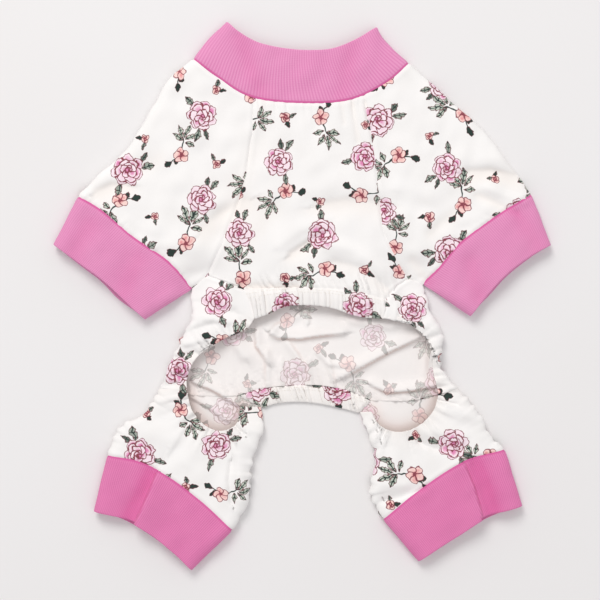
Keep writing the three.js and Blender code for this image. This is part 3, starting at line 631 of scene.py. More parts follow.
def clothSheet(name, grid, wall, cloth, materials, closed=False, relief=None, kept=None, rimSteps=3):
    # a sheet about a grid of middle points: outer face, inner face and rounded rims.
    # relief is added to the outer face, cloth is each point's place on the print and its painted shade
    rows, columns = grid.shape[:2]
    way = normals(grid, closed)
    relief = np.zeros((rows, columns)) if relief is None else relief
    outer = grid + way * (wall / 2 + relief)[..., None]
    inner = grid + way * (relief * sheetLook["innerRelief"] - wall / 2)[..., None]
    cells = np.ones((rows - 1, columns if closed else columns - 1), bool) if kept is None else kept
    number = np.arange(rows * columns).reshape(rows, columns)
    r, c = np.nonzero(cells)
    n = (c + 1) % columns
    quads = np.stack([number[r, c], number[r + 1, c], number[r + 1, n], number[r, n]], axis=1)
    count = rows * columns
    points = [outer.reshape(-1, 3), inner.reshape(-1, 3)]
    faces = [quads, quads[:, ::-1] + count]
    looks = [np.zeros(len(quads), int), np.ones(len(quads), int)]
    # edges used by one cell only are the rims
    edges = np.concatenate([quads[:, [k, (k + 1) % 4]] for k in range(4)])
    pairs = {}
    for start, end in edges:
        if pairs.pop((end, start), None) is None:
            pairs[(start, end)] = True
    rim = np.array(list(pairs))
    outline = np.zeros((count, 3))
    tangent = grid.reshape(-1, 3)[rim[:, 1]] - grid.reshape(-1, 3)[rim[:, 0]]
    outward = np.cross(tangent, way.reshape(-1, 3)[rim[:, 0]])
    outward /= np.maximum(np.linalg.norm(outward, axis=1, keepdims=True), 1e-9)
    for end in (0, 1):
        np.add.at(outline, rim[:, end], outward)
    outline /= np.maximum(np.linalg.norm(outline, axis=1, keepdims=True), 1e-9)
    onRim = np.unique(rim)
    place = np.full(count, -1)
    place[onRim] = np.arange(len(onRim))
    flatOuter, flatInner = outer.reshape(-1, 3)[onRim], inner.reshape(-1, 3)[onRim]
    rings = [rim]
    total = 2 * count
    used = [cloth.reshape(-1, 3), cloth.reshape(-1, 3)]
    for step in range(1, rimSteps + 1):
        angle = math.pi * step / (rimSteps + 1)
        middle = (flatOuter + flatInner) / 2 + (flatOuter - flatInner) / 2 * math.cos(angle)
        middle += outline[onRim] * wall / 2 * sheetLook["rimRound"] * math.sin(angle)
        points.append(middle)
        used.append(cloth.reshape(-1, 3)[onRim])
        rings.append(place[rim] + total)
        total += len(onRim)
    rings.append(rim + count)
    for near, far in zip(rings[:-1], rings[1:]):
        faces.append(np.stack([near[:, 1], near[:, 0], far[:, 0], far[:, 1]], axis=1))
        looks.append(np.zeros(len(rim), int))
    points, faces = np.vstack(points), np.vstack(faces)
    points[:, 2] = np.maximum(points[:, 2], sheetLook["lowest"])
    looks, used = np.concatenate(looks), np.vstack(used)
    wanted = np.unique(faces)
    again = np.full(len(points), -1)
    again[wanted] = np.arange(len(wanted))
    mesh = bpy.data.meshes.new(name)
    mesh.from_pydata((points[wanted] * mm).tolist(), [], again[faces].tolist())
    mesh.polygons.foreach_set("use_smooth", np.ones(len(faces), bool))
    for material in materials:
        mesh.materials.append(material)
    mesh.polygons.foreach_set("material_index", looks if len(materials) > 1 else looks * 0)
    mesh.attributes.new("cloth", "FLOAT_VECTOR", "POINT")
    mesh.attributes["cloth"].data.foreach_set("vector", used[wanted].astype(np.float32).ravel())
    mesh.update()
    return newObject(name, mesh), outer


# materials

def linear(hexColour):
    channels = [int(hexColour[k:k + 2], 16) / 255 for k in (1, 3, 5)]
    return tuple(c / 12.92 if c <= 0.04045 else ((c + 0.055) / 1.055) ** 2.4 for c in channels) + (1,)


def add(tree, kind, *inputs, out=0, named=None, **settings):
    # adds one node, a shader node unless its kind says otherwise; a word after a colon is its
    # operation, inputs are sockets, values or None
    kind, _, operation = kind.partition(":")
    if not kind.startswith(("Geometry", "Function")):
        kind = "ShaderNode" + kind
    node = tree.nodes.new(kind)
    if operation:
        node.operation = operation
    for name, value in settings.items():
        setattr(node, name, value)
    for key, value in list(enumerate(inputs)) + list((named or {}).items()):
        if isinstance(value, bpy.types.NodeSocket):
            tree.links.new(value, node.inputs[key])
        elif value is not None:
            node.inputs[key].default_value = value
    return node.outputs[out] if len(node.outputs) else node


def newMaterial(name):
    material = bpy.data.materials.new(name)
    material.use_nodes = True
    material.node_tree.nodes.clear()
    return material, material.node_tree


def newGroup(name, kind, inputs, outputs):
    # a group tree with its named inputs and outputs; gives the tree, its inputs and its output node
    tree = bpy.data.node_groups.new(name, kind)
    for label, socket, value in inputs:
        item = tree.interface.new_socket(label, in_out="INPUT", socket_type=socket)
        if value is not None:
            item.default_value = value
    for label, socket in outputs:
        tree.interface.new_socket(label, in_out="OUTPUT", socket_type=socket)
    return tree, tree.nodes.new("NodeGroupInput").outputs, tree.nodes.new("NodeGroupOutput").inputs


floats = "NodeSocketFloat"
vectors = "NodeSocketVector"
rgba = {"data_type": "RGBA", "out": 2}

# sizes of the print in millimetres
printSizes = {
    "lineWidth": 0.84, "cellWidth": 63.0, "cellHeight": 60.0, "jitter": 8.0, "wobble": 4.6,
    "wobbleScale": 0.14, "smallest": 0.88, "largest": 1.08, "stemOuter": 0.72, "stemInner": 0.36,
}
printColours = {
    "outline": "#8A4450", "petalPale": "#FAEAF1", "petalPink": "#DF8AB6",
    "peachPale": "#F9D9D2", "peachDeep": "#E9999A", "leafDark": "#2E3D38", "leafPale": "#CBD3C6",
    "leafEdge": "#6E3C42",
}

# one ring of petals, each a disc that laps over the one before it: how far a point lies inside
# the ring, how far from its nearest line, and a number of its own for each petal
ringTree, ringIn, ringOut = newGroup("petalRing", "ShaderNodeTree", [
    ("Place", vectors, None), ("Petals", floats, 5.0), ("Turn", floats, 0.0),
    ("Own", vectors, None), ("Next", vectors, None), ("Reach", floats, 3.0),
    ("Seed", floats, 0.0)], [("Inside", floats), ("Line", floats), ("Tone", floats)])
split = add(ringTree, "SeparateXYZ", ringIn["Place"]).node.outputs
angle = add(ringTree, "Math:ARCTAN2", split["Y"], split["X"])
radius = add(ringTree, "VectorMath:LENGTH", ringIn["Place"], out="Value")
perAngle = add(ringTree, "Math:DIVIDE", ringIn["Petals"], 2 * math.pi)
sector = add(ringTree, "Math:MULTIPLY_ADD", angle, perAngle, ringIn["Turn"])
number = add(ringTree, "Math:ROUND", sector)
swing = add(ringTree, "Math:DIVIDE", add(ringTree, "Math:SUBTRACT", sector, number), perAngle)
folded = add(ringTree, "CombineXYZ",
             add(ringTree, "Math:MULTIPLY", radius, add(ringTree, "Math:COSINE", swing)),
             add(ringTree, "Math:MULTIPLY", radius, add(ringTree, "Math:SINE", swing)), 0.0)
own = add(ringTree, "Math:SUBTRACT", ringIn["Reach"],
          add(ringTree, "VectorMath:DISTANCE", folded, ringIn["Own"], out="Value"))
lapping = add(ringTree, "Math:SUBTRACT", ringIn["Reach"],
              add(ringTree, "VectorMath:DISTANCE", folded, ringIn["Next"], out="Value"))
covered = add(ringTree, "Math:GREATER_THAN", lapping, 0.0)
ownLine = add(ringTree, "Math:MULTIPLY_ADD", covered, 99.0, add(ringTree, "Math:ABSOLUTE", own))
nearLine = add(ringTree, "Math:MINIMUM", ownLine, add(ringTree, "Math:ABSOLUTE", lapping))
petal = add(ringTree, "Math:ADD", number, covered)
petal = add(ringTree, "Math:FLOORED_MODULO", petal, ringIn["Petals"])
petalPlace = add(ringTree, "CombineXYZ", petal, ringIn["Seed"], 0.5)
petalTone = add(ringTree, "TexWhiteNoise", petalPlace, noise_dimensions="3D", out="Value")
ringTree.links.new(add(ringTree, "Math:MAXIMUM", own, lapping), ringOut["Inside"])
ringTree.links.new(nearLine, ringOut["Line"])
ringTree.links.new(petalTone, ringOut["Tone"])


# where a petal's blush starts and is full, in from its edge and by its chance; the soft edge of a
# flower, and how much of its heart is deep
petalLook = {"blush": (0.3, 2.8), "chance": (0.25, 0.8, 0.1, 1.0), "edge": (-0.35, 0.05), "heartCore": 0.35}


def flower(name, rings, pale, deep, wave, heart):
    # a drawn flower of petal rings, the outermost first; gives its colour, and 1 where it is printed
    tree, given, result = newGroup(
        name, "ShaderNodeTree", [("Place", vectors, None), ("Chance", floats, 0.0)],
        [("Colour", "NodeSocketColor"), ("Mask", floats)])
    shake = add(tree, "TexNoise", given["Place"], named={"Scale": 0.5, "Detail": 1.0}, out="Color")
    drawnPlace = add(tree, "VectorMath:ADD", given["Place"], add(
        tree, "VectorMath:MULTIPLY_ADD", shake, (wave, wave, 0), (-wave / 2, -wave / 2, 0)))
    shell = None
    for step, (petals, middle, reach, turn, offset) in enumerate(rings):
        centred = drawnPlace
        if offset != (0, 0):
            centred = add(tree, "VectorMath:SUBTRACT", drawnPlace, (offset[0], offset[1], 0))
        angle = 2 * math.pi / petals
        ring = add(tree, "Group", node_tree=ringTree, named={
            "Place": centred, "Petals": petals, "Turn": turn, "Own": (middle, 0, 0),
            "Next": (middle * math.cos(angle), middle * math.sin(angle), 0), "Reach": reach,
            "Seed": add(tree, "Math:ADD", given["Chance"], step * 1.7)}).node.outputs
        if shell is None:
            shell, depth, lineGap, tone = ring["Inside"], ring["Inside"], ring["Line"], ring["Tone"]
            continue
        within = add(tree, "Math:GREATER_THAN", ring["Inside"], 0.0)
        shell = add(tree, "Math:MAXIMUM", shell, ring["Inside"])
        around = add(tree, "Math:MINIMUM", lineGap, add(tree, "Math:ABSOLUTE", ring["Inside"]))
        lineGap = add(tree, "Mix", named={0: within, 2: around, 3: ring["Line"]})
        depth = add(tree, "Mix", named={0: within, 2: depth, 3: ring["Inside"]})
        tone = add(tree, "Mix", named={0: within, 2: tone, 3: ring["Tone"]})
    drawn = add(tree, "MapRange", lineGap, printSizes["lineWidth"] * 0.75,
                printSizes["lineWidth"] * 0.25, interpolation_type="SMOOTHSTEP")
    blush = add(tree, "MapRange", depth, *petalLook["blush"], interpolation_type="SMOOTHSTEP")
    blush = add(tree, "Math:MULTIPLY", blush, add(tree, "MapRange", tone, *petalLook["chance"]))
    middle = add(tree, "VectorMath:LENGTH", drawnPlace, out="Value")
    blush = add(tree, "Math:MAXIMUM", blush, add(
        tree, "MapRange", middle, heart, heart * petalLook["heartCore"]))
    fill = add(tree, "Mix", **rgba,
               named={0: blush, 6: linear(printColours[pale]), 7: linear(printColours[deep])})
    inked = add(tree, "Mix", **rgba, named={
        0: drawn, 6: fill, 7: linear(printColours["outline"])})
    tree.links.new(inked, result["Colour"])
    tree.links.new(add(tree, "MapRange", shell, *petalLook["edge"]), result["Mask"])
    return tree


# rings: petals, distance of their middles, their radius, turn, place of the ring
rose = flower("roseMotif", [
    (7, 7.4, 4.3, 0.3, (0, 0)), (6, 5.2, 3.9, 0.1, (0.6, -0.4)), (5, 3.0, 2.8, 0.6, (0.9, 0.5)),
    (3, 1.1, 1.5, 0.2, (0.8, 0.9))], "petalPale", "petalPink", 1.7, 3.4)
blossom = flower("blossomMotif", [(5, 3.5, 2.8, 0.2, (0, 0)), (3, 0.5, 0.75, 0.4, (0.2, 0.1))],
                 "peachPale", "peachDeep", 1.0, 3.6)
bud = flower("budMotif", [(4, 1.7, 1.9, 0.4, (0, 0)), (2, 0.7, 1.0, 0.2, (0.5, 0.2))],
             "peachPale", "peachDeep", 0.8, 2.4)

# a toothed leaf along X: length, half width and how pale its inside is. Its teeth lean by the
# slant and come in so many a millimetre; lines run from nothing to full between two distances
leafLook = {"slant": -0.8, "teeth": 0.3, "toothDepth": 0.55, "between": 0.72, "edge": (0.7, 0.3),
            "midrib": (0.5, 0.25), "veinTo": 0.12, "soft": 0.2}
leaf, given, result = newGroup("leafMotif", "ShaderNodeTree", [
    ("Place", vectors, None), ("Length", floats, 9.0), ("Width", floats, 2.5), ("Pale", floats, 0.5)],
    [("Colour", "NodeSocketColor"), ("Mask", floats)])
split = add(leaf, "SeparateXYZ", given["Place"]).node.outputs
share = add(leaf, "Math:DIVIDE", split["X"], add(leaf, "Math:MULTIPLY", given["Length"], 0.5))
bow = add(leaf, "Math:SUBTRACT", 1.0, add(leaf, "Math:MULTIPLY", share, share))
height = add(leaf, "Math:ABSOLUTE", split["Y"])
slanted = add(leaf, "Math:MULTIPLY_ADD", height, leafLook["slant"], split["X"])
teeth = add(leaf, "Math:PINGPONG", add(leaf, "Math:MULTIPLY_ADD", slanted, leafLook["teeth"], 8.0), 0.5)
notched = add(leaf, "Math:MULTIPLY", bow, add(
    leaf, "Math:MULTIPLY_ADD", teeth, leafLook["toothDepth"], leafLook["between"]))
inside = add(leaf, "Math:SUBTRACT", add(leaf, "Math:MULTIPLY", notched, given["Width"]), height)
outerLine = add(leaf, "MapRange", inside, *leafLook["edge"])
midrib = add(leaf, "MapRange", height, *leafLook["midrib"])
vein = add(leaf, "Math:GREATER_THAN", teeth, leafLook["veinTo"])
paleness = add(leaf, "Math:MULTIPLY", given["Pale"], vein)
core = add(leaf, "Mix", **rgba, named={
    0: paleness, 6: linear(printColours["leafDark"]), 7: linear(printColours["leafPale"])})
ribbed = add(leaf, "Mix", **rgba, named={
    0: midrib, 6: core, 7: linear(printColours["leafDark"])})
leafInk = add(leaf, "Mix", **rgba, named={
    0: outerLine, 6: ribbed, 7: linear(printColours["leafEdge"])})
leaf.links.new(leafInk, result["Colour"])
leaf.links.new(add(leaf, "MapRange", inside, -leafLook["soft"], leafLook["soft"]), result["Mask"])

# one lattice of the print: a place on the cloth to a place about its motif, turned at random
lattice, given, result = newGroup("printLattice", "ShaderNodeTree", [
    ("Place", vectors, None), ("Shift", vectors, None), ("Seed", floats, 0.0)],
    [("Local", vectors), ("Chance", floats)])
shifted = add(lattice, "VectorMath:ADD", given["Place"], given["Shift"])
scaled = add(lattice, "VectorMath:DIVIDE", shifted,
             (printSizes["cellWidth"], printSizes["cellHeight"], 1))
split = add(lattice, "SeparateXYZ", scaled).node.outputs
row = add(lattice, "Math:FLOOR", split["Y"])
slid = add(lattice, "Math:MULTIPLY_ADD", row, 0.5, split["X"])
column = add(lattice, "Math:FLOOR", slid)
cell = add(lattice, "CombineXYZ", column, row, given["Seed"])
chance = add(lattice, "TexWhiteNoise", cell, noise_dimensions="3D").node.outputs
offset = add(lattice, "VectorMath:MULTIPLY_ADD", chance["Color"],
             (printSizes["jitter"], printSizes["jitter"], 0),
             (-printSizes["cellWidth"] / 2 - printSizes["jitter"] / 2,
              -printSizes["cellHeight"] / 2 - printSizes["jitter"] / 2, 0))
inCell = add(lattice, "CombineXYZ",
             add(lattice, "Math:MULTIPLY", add(lattice, "Math:FRACT", slid), printSizes["cellWidth"]),
             add(lattice, "Math:MULTIPLY", add(lattice, "Math:FRACT", split["Y"]),
                 printSizes["cellHeight"]), 0.0)
centred = add(lattice, "VectorMath:ADD", inCell, offset)
turn = add(lattice, "Math:MULTIPLY", chance["Value"], 2 * math.pi)
turned = add(lattice, "VectorRotate", centred, rotation_type="Z_AXIS", named={"Angle": turn})
larger = add(lattice, "MapRange", add(lattice, "SeparateXYZ", chance["Color"], out="Z"),
             0.0, 1.0, printSizes["smallest"], printSizes["largest"])
turned = add(lattice, "VectorMath:SCALE", turned, named={"Scale": larger})
wobble = add(lattice, "TexNoise", shifted, out="Color",
             named={"Scale": printSizes["wobbleScale"], "Detail": 1.0})
swing = printSizes["wobble"]
bent = add(lattice, "VectorMath:MULTIPLY_ADD", wobble, (swing, swing, 0), (-swing / 2, -swing / 2, 0))
lattice.links.new(add(lattice, "VectorMath:ADD", turned, bent), result["Local"])
lattice.links.new(chance["Value"], result["Chance"])

# the whole print over the bare cloth colour
floral, given, result = newGroup("floralPrint", "ShaderNodeTree", [
    ("Place", vectors, None), ("Ground", "NodeSocketColor", None)],
    [("Colour", "NodeSocketColor"), ("Ink", floats)])
colour, ink = given["Ground"], None
plane = add(floral, "VectorMath:MULTIPLY", given["Place"], (1, 1, 0))

# motifs of each lattice, lowest first: kind, place, turn in degrees, leaf length, width, paleness
printRows = [
    ((0, 0, 0), 3.0, [
        ("stem", (1, 0), 24, 13, 0.024, 0), ("leaf", (-15.2, -1.3), 174, 8, 3.2, 0.0),
        ("leaf", (-8.4, -4.6), -132, 7, 2.6, 0.0), ("leaf", (6.4, 10.0), 104, 11, 2.5, 0.8),
        ("leaf", (11.4, 11.6), 66, 13, 2.6, 0.9), ("leaf", (15.4, 7.6), 24, 13, 2.6, 0.8),
        ("leaf", (14.4, 2.2), -18, 11, 2.4, 0.9), ("leaf", (9.4, -1.4), -62, 9, 2.3, 0.8),
        ("blossom", (-2.6, -3.2), 0, 0, 0, 0)]),
    ((31.5, 30, 0), 7.0, [
        ("leaf", (15.2, 3.6), 10, 11, 2.9, 0.55), ("leaf", (11.4, 9.0), 52, 9.5, 2.5, 0.2),
        ("leaf", (-5.6, -13.8), -112, 11, 2.8, 0.5), ("rose", (0, 0), 0, 0, 0, 0)]),
    ((31.5, 0, 0), 11.0, [
        ("leaf", (4.8, 1.9), 24, 7, 2.1, 0.0), ("leaf", (-1.5, 5.0), 112, 6.4, 1.9, 0.4),
        ("bud", (0, 0), 0, 0, 0, 0)]),
]
groups = {"rose": rose, "blossom": blossom, "bud": bud, "leaf": leaf}
for shift, seed, motifs in printRows:
    found = add(floral, "Group", node_tree=lattice, out="Local",
                named={"Place": plane, "Shift": shift, "Seed": seed}).node.outputs
    local = found["Local"]
    for kind, (x, y), turnDegrees, length, width, pale in motifs:
        about = add(floral, "VectorMath:SUBTRACT", local, (x, y, 0))
        if turnDegrees:
            about = add(floral, "VectorRotate", about, rotation_type="Z_AXIS",
                        named={"Angle": math.radians(-turnDegrees)})
        if kind == "stem":
            split = add(floral, "SeparateXYZ", about).node.outputs
            arc = add(floral, "Math:MULTIPLY", add(floral, "Math:MULTIPLY", split["X"], split["X"]), width)
            gap = add(floral, "Math:ABSOLUTE", add(floral, "Math:SUBTRACT", split["Y"], arc))
            thin = add(floral, "MapRange", gap, printSizes["stemOuter"], printSizes["stemInner"])
            ends = add(floral, "MapRange", add(floral, "Math:ABSOLUTE", split["X"]), length, length - 1)
            mask = add(floral, "Math:MULTIPLY", thin, ends)
            paint = linear(printColours["leafDark"])
        else:
            motif = add(floral, "Group", node_tree=groups[kind]).node
            floral.links.new(about, motif.inputs["Place"])
            if kind != "leaf":
                floral.links.new(found["Chance"], motif.inputs["Chance"])
            else:
                motif.inputs["Length"].default_value = length
                motif.inputs["Width"].default_value = width
                motif.inputs["Pale"].default_value = pale
            mask, paint = motif.outputs["Mask"], motif.outputs["Colour"]
        colour = add(floral, "Mix", **rgba, named={0: mask, 6: colour, 7: paint})
        ink = mask if ink is None else add(floral, "Math:MAXIMUM", ink, mask)
floral.links.new(colour, result["Colour"])
floral.links.new(ink, result["Ink"])


# cotton jersey, circular knit and printed: matt, ivory ground, the print sharp on its face and
# showing through faintly on its reverse; shade in creases, under rims and near edges is painted into its
# ground
def jerseyMaterial(name, strength, shade):
    material, tree = newMaterial(name)
    cloth = add(tree, "Attribute", attribute_name="cloth", out="Vector")
    split = add(tree, "SeparateXYZ", cloth).node.outputs
    patchy = add(tree, "TexNoise", cloth, named={"Scale": 0.045, "Detail": 2.0})
    ground = add(tree, "Mix", **rgba, named={
        0: patchy, 6: linear(jersey["ground"]), 7: linear(jersey["groundDeep"])})
    # painted shade: the cloth's third number darkens the ground toward a shade colour, and from 0.55 on
    # toward a darker fold shade
    ground = add(tree, "Mix", **rgba, named={
        0: split["Z"], 6: ground, 7: linear(shade)})
    ground = add(tree, "Mix", **rgba, named={
        0: add(tree, "MapRange", split["Z"], 0.55, 1.4), 6: ground, 7: linear(jersey["foldShade"])})
    printed = add(tree, "Group", node_tree=floral, named={"Place": cloth, "Ground": ground})
    inked = add(tree, "Mix", **rgba, named={
        0: strength, 6: ground, 7: printed})
    # loops of the knit, drawn wider apart than the real ones' 0.7 mm, so that the render shows them
    loops = add(tree, "VectorMath:MULTIPLY", cloth,
                (2 * math.pi / jersey["loopWidth"], 2 * math.pi / jersey["loopHeight"], 0))
    way = add(tree, "SeparateXYZ", loops).node.outputs
    knit = add(tree, "Math:MULTIPLY", add(tree, "Math:COSINE", way["X"]),
               add(tree, "Math:COSINE", way["Y"]))
    grain = add(tree, "TexNoise", cloth, named={"Scale": 0.9, "Detail": 2.0})
    bumpy = add(tree, "Math:MULTIPLY_ADD", knit, 0.4, grain)
    bump = add(tree, "Bump", named={
        "Strength": 0.35, "Distance": jersey["bump"] * mm, "Height": bumpy})
    shader = add(tree, "BsdfPrincipled", out="BSDF", named={
        "Base Color": inked, "Roughness": 0.9, "Specular IOR Level": 0.25, "Sheen Weight": 0.12,
        "Sheen Roughness": 0.5, "Normal": bump})
    add(tree, "OutputMaterial", shader)
    return material


# shade colours: painted shade on the face and on the reverse, and a darker painted shade at the feet of
# folds
jersey = {"ground": "#F8F6F5", "groundDeep": "#F1EEEC", "faceShade": "#F6EDE6", "reverseShade": "#F1E2DD",
          "foldShade": "#DCCBC4", "bump": 0.12, "loopWidth": 1.3, "loopHeight": 1.7}
jerseyFace = jerseyMaterial("printedCottonJersey", 1.0, jersey["faceShade"])
jerseyReverse = jerseyMaterial("cottonJerseyReverse", 0.42, jersey["reverseShade"])

# one by one rib knit, cotton with elastane, piece dyed: the ridges are painted lighter and the
# furrows between them darker pink, painted light and shade of the ribs
rib = {"ridge": "#E99CC5", "furrow": "#DB84B4", "deepRidge": "#E67CB1", "deepFurrow": "#D5649F",
       "seam": "#D768A2", "height": 0.2, "bump": 0.1, "stitchHeight": 1.4}
ribKnit, tree = newMaterial("pinkRibKnit")
cloth = add(tree, "Attribute", attribute_name="cloth", out="Vector")
split = add(tree, "SeparateXYZ", cloth).node.outputs
# painted light and shade: a lighter colour on the ridges, a darker one in the furrows
wave = add(tree, "Math:COSINE", add(tree, "Math:MULTIPLY", split["X"], 2 * math.pi))
ridge = add(tree, "MapRange", wave, -1.0, 0.7)
stitchRows = add(tree, "Math:COSINE", add(tree, "Math:MULTIPLY", split["Y"],
                                          2 * math.pi / rib["stitchHeight"]))
patchy = add(tree, "TexNoise", cloth, named={"Scale": 0.05, "Detail": 2.0})
tone = add(tree, "Math:MULTIPLY_ADD", patchy, 0.5, add(tree, "Math:MULTIPLY_ADD", ridge, 0.75, -0.12))
shade = add(tree, "Mix", **rgba, named={
    0: tone, 6: linear(rib["furrow"]), 7: linear(rib["ridge"])})
deep = add(tree, "Mix", **rgba, named={
    0: tone, 6: linear(rib["deepFurrow"]), 7: linear(rib["deepRidge"])})
# the third number mixes toward deeper pinks: a set deepness for each band, plus painted shade in creases
shade = add(tree, "Mix", **rgba, named={0: split["Z"], 6: shade, 7: deep})
atSeam = add(tree, "MapRange", split["Y"], 1.5, 0.5)
shade = add(tree, "Mix", **rgba, named={
    0: atSeam, 6: shade, 7: linear(rib["seam"])})
bump = add(tree, "Bump", named={
    "Strength": 0.4, "Distance": rib["bump"] * mm, "Height": stitchRows})
shader = add(tree, "BsdfPrincipled", out="BSDF", named={
    "Base Color": shade, "Roughness": 0.92, "Specular IOR Level": 0.2, "Sheen Weight": 0.2,
    "Sheen Roughness": 0.45, "Normal": bump})
add(tree, "OutputMaterial", shader)

# polyester sewing thread, spun and dyed ivory: a soft shine on each stitch
thread, tree = newMaterial("ivorySewingThread")
place = add(tree, "TexCoord", out="Object")
twist = add(tree, "TexNoise", place, named={"Scale": 1800.0, "Detail": 1.0})
shade = add(tree, "Mix", **rgba, named={
    0: twist, 6: linear("#E4DDD3"), 7: linear("#FBF7F0")})
shader = add(tree, "BsdfPrincipled", out="BSDF", named={
    "Base Color": shade, "Roughness": 0.55, "Specular IOR Level": 0.4})
add(tree, "OutputMaterial", shader)
print("materials made")

jerseyLooks = [jerseyFace, jerseyReverse]

# in millimetres: a seam's dip and the fullness beside it, and how far painted shade reaches in from
# an edge; the side puckers keep to that share of a section about its fold
seamLook = {"depth": 0.85, "width": 1.1, "fullness": 0.25, "beside": 3.0, "spread": 1.6}
shadeReach = 9
sideBand = 0.45
halfWall = suit["clothWall"] / 2
meets = suit["raglanMeet"]


def ride(made, node):
    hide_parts(node)
    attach(made, "root")


def report(made, flat):
    total = sum(face.area for face in made.data.polygons)
    print(f"{made.name}: {len(made.data.polygons)} faces, {total / 2:.4f} square metres")


def seamDip(*gaps):
    # cloth dips into a seam, with a little fullness beside it
    dip = 0
    for gap in gaps:
        dip = dip - seamLook["depth"] * np.exp(-(gap / seamLook["width"]) ** 2)
        dip = dip + seamLook["fullness"] * np.exp(-((gap - seamLook["beside"]) / seamLook["spread"]) ** 2)
    return dip


def shiftOut(grid, amount, closed):
    return grid + normals(grid, closed) * amount[..., None]


def shareGrid(look):
    down, over = (np.linspace(0, 1, look[count] + 1) for count in ("rows", "columns"))
    return np.meshgrid(down, over, indexing="ij")


def turnedRound(*grids):
    # columns the other way round, so that the faces point outwards
    return [grid[:, ::-1] for grid in grids]


# chest panel: front of the body from the collar to the belly casing. Gathers, here and below:
# pitch, height, reach, seed
chest = {"rows": 120, "columns": 110, "raglanUntil": 0.8, "printShift": (14, 8), "seamAtHem": 0.4,
         "hemGathers": (6.2, 0.8, 17, 11), "collarGathers": (7.5, 0.45, 11, 12),
         "hemShade": 0.12, "creaseShade": 0.5}
edges = [chain((seams["raglan"], chest["raglanUntil"]), (seams["side"], 1)) for seams in sides.values()]
plan = drawnIn(patch(stretch(collarSeam, *meets), casing, *edges))
place = plan(*shareGrid(chest))
grid = withThird(place, upperHeight(place))
along, width = runs(grid)
toEnd, toRight = along[-1] - along, width[:, -1:] - width
middle = width - width[:, -1:] / 2
amount = gathers(middle, toEnd, *chest["hemGathers"]) * easedIn(toEnd, 4, 0.1)
amount += gathers(middle, along, *chest["collarGathers"]) * easedIn(along, 2, 0.3)
grid = shiftOut(grid, amount, False)
# painted shade near the casing and in the deep creases
paintedShade = chest["hemShade"] * np.exp(-toEnd / shadeReach)
paintedShade += chest["creaseShade"] * paintedCreaseShade(place, upperCreases)
relief = seamDip(along, width, toRight) + chest["seamAtHem"] * seamDip(toEnd)
chestPanel = clothSheet("chestPanel", grid, suit["clothWall"],
                        withThird(grid[..., :2] + chest["printShift"], paintedShade), jerseyLooks, relief=relief)[0]
ride(chestPanel, "chest_panel")
report(chestPanel, (0.152, 0.170))
print("chest panel made")

# casings: turned over elastic, puffed and drawn up into fine gathers. firm is the gathers' share
# at the seam, what the free edge adds and what the middle adds
bellyCasing = {"rows": 14, "columns": 150, "puff": 0.9, "sunk": 0.5, "wall": 2.0, "seamDepth": 0.4,
               "gathers": (4.4, 0.7, 99, 21), "firm": (0.1, 1.2, 0.6), "printShift": chest["printShift"],
               "shade": 0.15}
tailCasing = {"rows": 14, "columns": 140, "puff": 0.8, "sunk": 0.2, "wall": 1.8, "seamDepth": 1,
              "gathers": (4.2, 0.62, 99, 22), "firm": (0.35, 0, 1.3), "printShift": (95, 72),
              "shade": 0.3, "lift": 0.9, "trim": 0.7}


def elasticCasing(name, plan, look, base):
    u, v = shareGrid(look)
    place = plan(u, v)
    bulge = np.sin(math.pi * u)
    grid = withThird(place, base(place) + look["puff"] * (bulge - look["sunk"]))
    along, width = runs(grid)
    atSeam, atEdge, atMiddle = look["firm"]
    amount = gathers(width - width[:, -1:] / 2, along * 0, *look["gathers"])
    grid = shiftOut(grid, amount * np.clip(atSeam + atEdge * u + atMiddle * bulge, 0, 1), False)
    relief = look["seamDepth"] * seamDip(along) + seamDip(width, width[:, -1:] - width)
    # an even painted shade over the whole casing
    cloth = withThird(grid[..., :2] + look["printShift"], look["shade"])
    return clothSheet(name, grid, look["wall"], cloth, [jerseyFace], relief=relief)


plan = drawnIn(patch(casing, bellyEdge, *(seams["hemEnd"] for seams in sides.values())), end=0)
bellyHem, bellyOuter = elasticCasing("bellyHem", plan, bellyCasing, upperHeight)
ride(bellyHem, "belly_hem")
report(bellyHem, (0.160, 0.016))
trim = tailCasing["trim"]
plan = drawnIn(patch(tailTop, tailEdge, *(seams["tailEnd"] for seams in sides.values())),
               start=trim, end=0, left=trim, right=trim)
tailHem, tailOuter = elasticCasing("tailHem", plan, tailCasing,
                                   lambda place: tailCasing["wall"] / 2 + tailCasing["lift"])
ride(tailHem, "tail_hem")
report(tailHem, (0.145, 0.016))
print("casings made")

# the inside of the body: painted shade under the rims and in the folds
inside = {"open": 0.18, "underRim": 0.72, "reach": 8}


def hollowShade(place):
    reach = np.full(place.shape[:-1], 1e9)
    for curve in (bellyEdge, rimPath(sides["left"]), rimPath(sides["right"])):
        reach = np.minimum(reach, nearPath(place, curve)[1])
    return np.clip(inside["open"] + inside["underRim"] * np.exp(-(reach / inside["reach"]) ** 2), 0, 1)


def aboutFold(share):
    return np.exp(-((share - 0.5) / sideBand) ** 2)


# back panel: lies under everything and wraps over both flanks up to the rims of the opening.
# Untils are shares of an edge at which its next seam takes over
back = {"raglanRows": 80, "pitRows": 8, "flankRows": 88, "columns": 120, "wrapColumns": 26,
        "turnSteps": 7, "sideUntil": 0.24, "hemEndUntil": 0.42, "thighUntil": 0.25, "tailUntil": 0.75,
        "pastTail": 0.2, "risingRows": 6, "rimFrom": 0.36, "rimWithin": 0.1, "legStep": 20,
        "tailGathers": (8.5, 1.5, 19, 34), "underShade": 0.35, "rimShade": 0.3, "foldShade": 0.85,
        "farShade": 0.45}
bodyRows = back["raglanRows"] + back["pitRows"] + back["flankRows"]
tipRow = back["raglanRows"] + back["pitRows"]


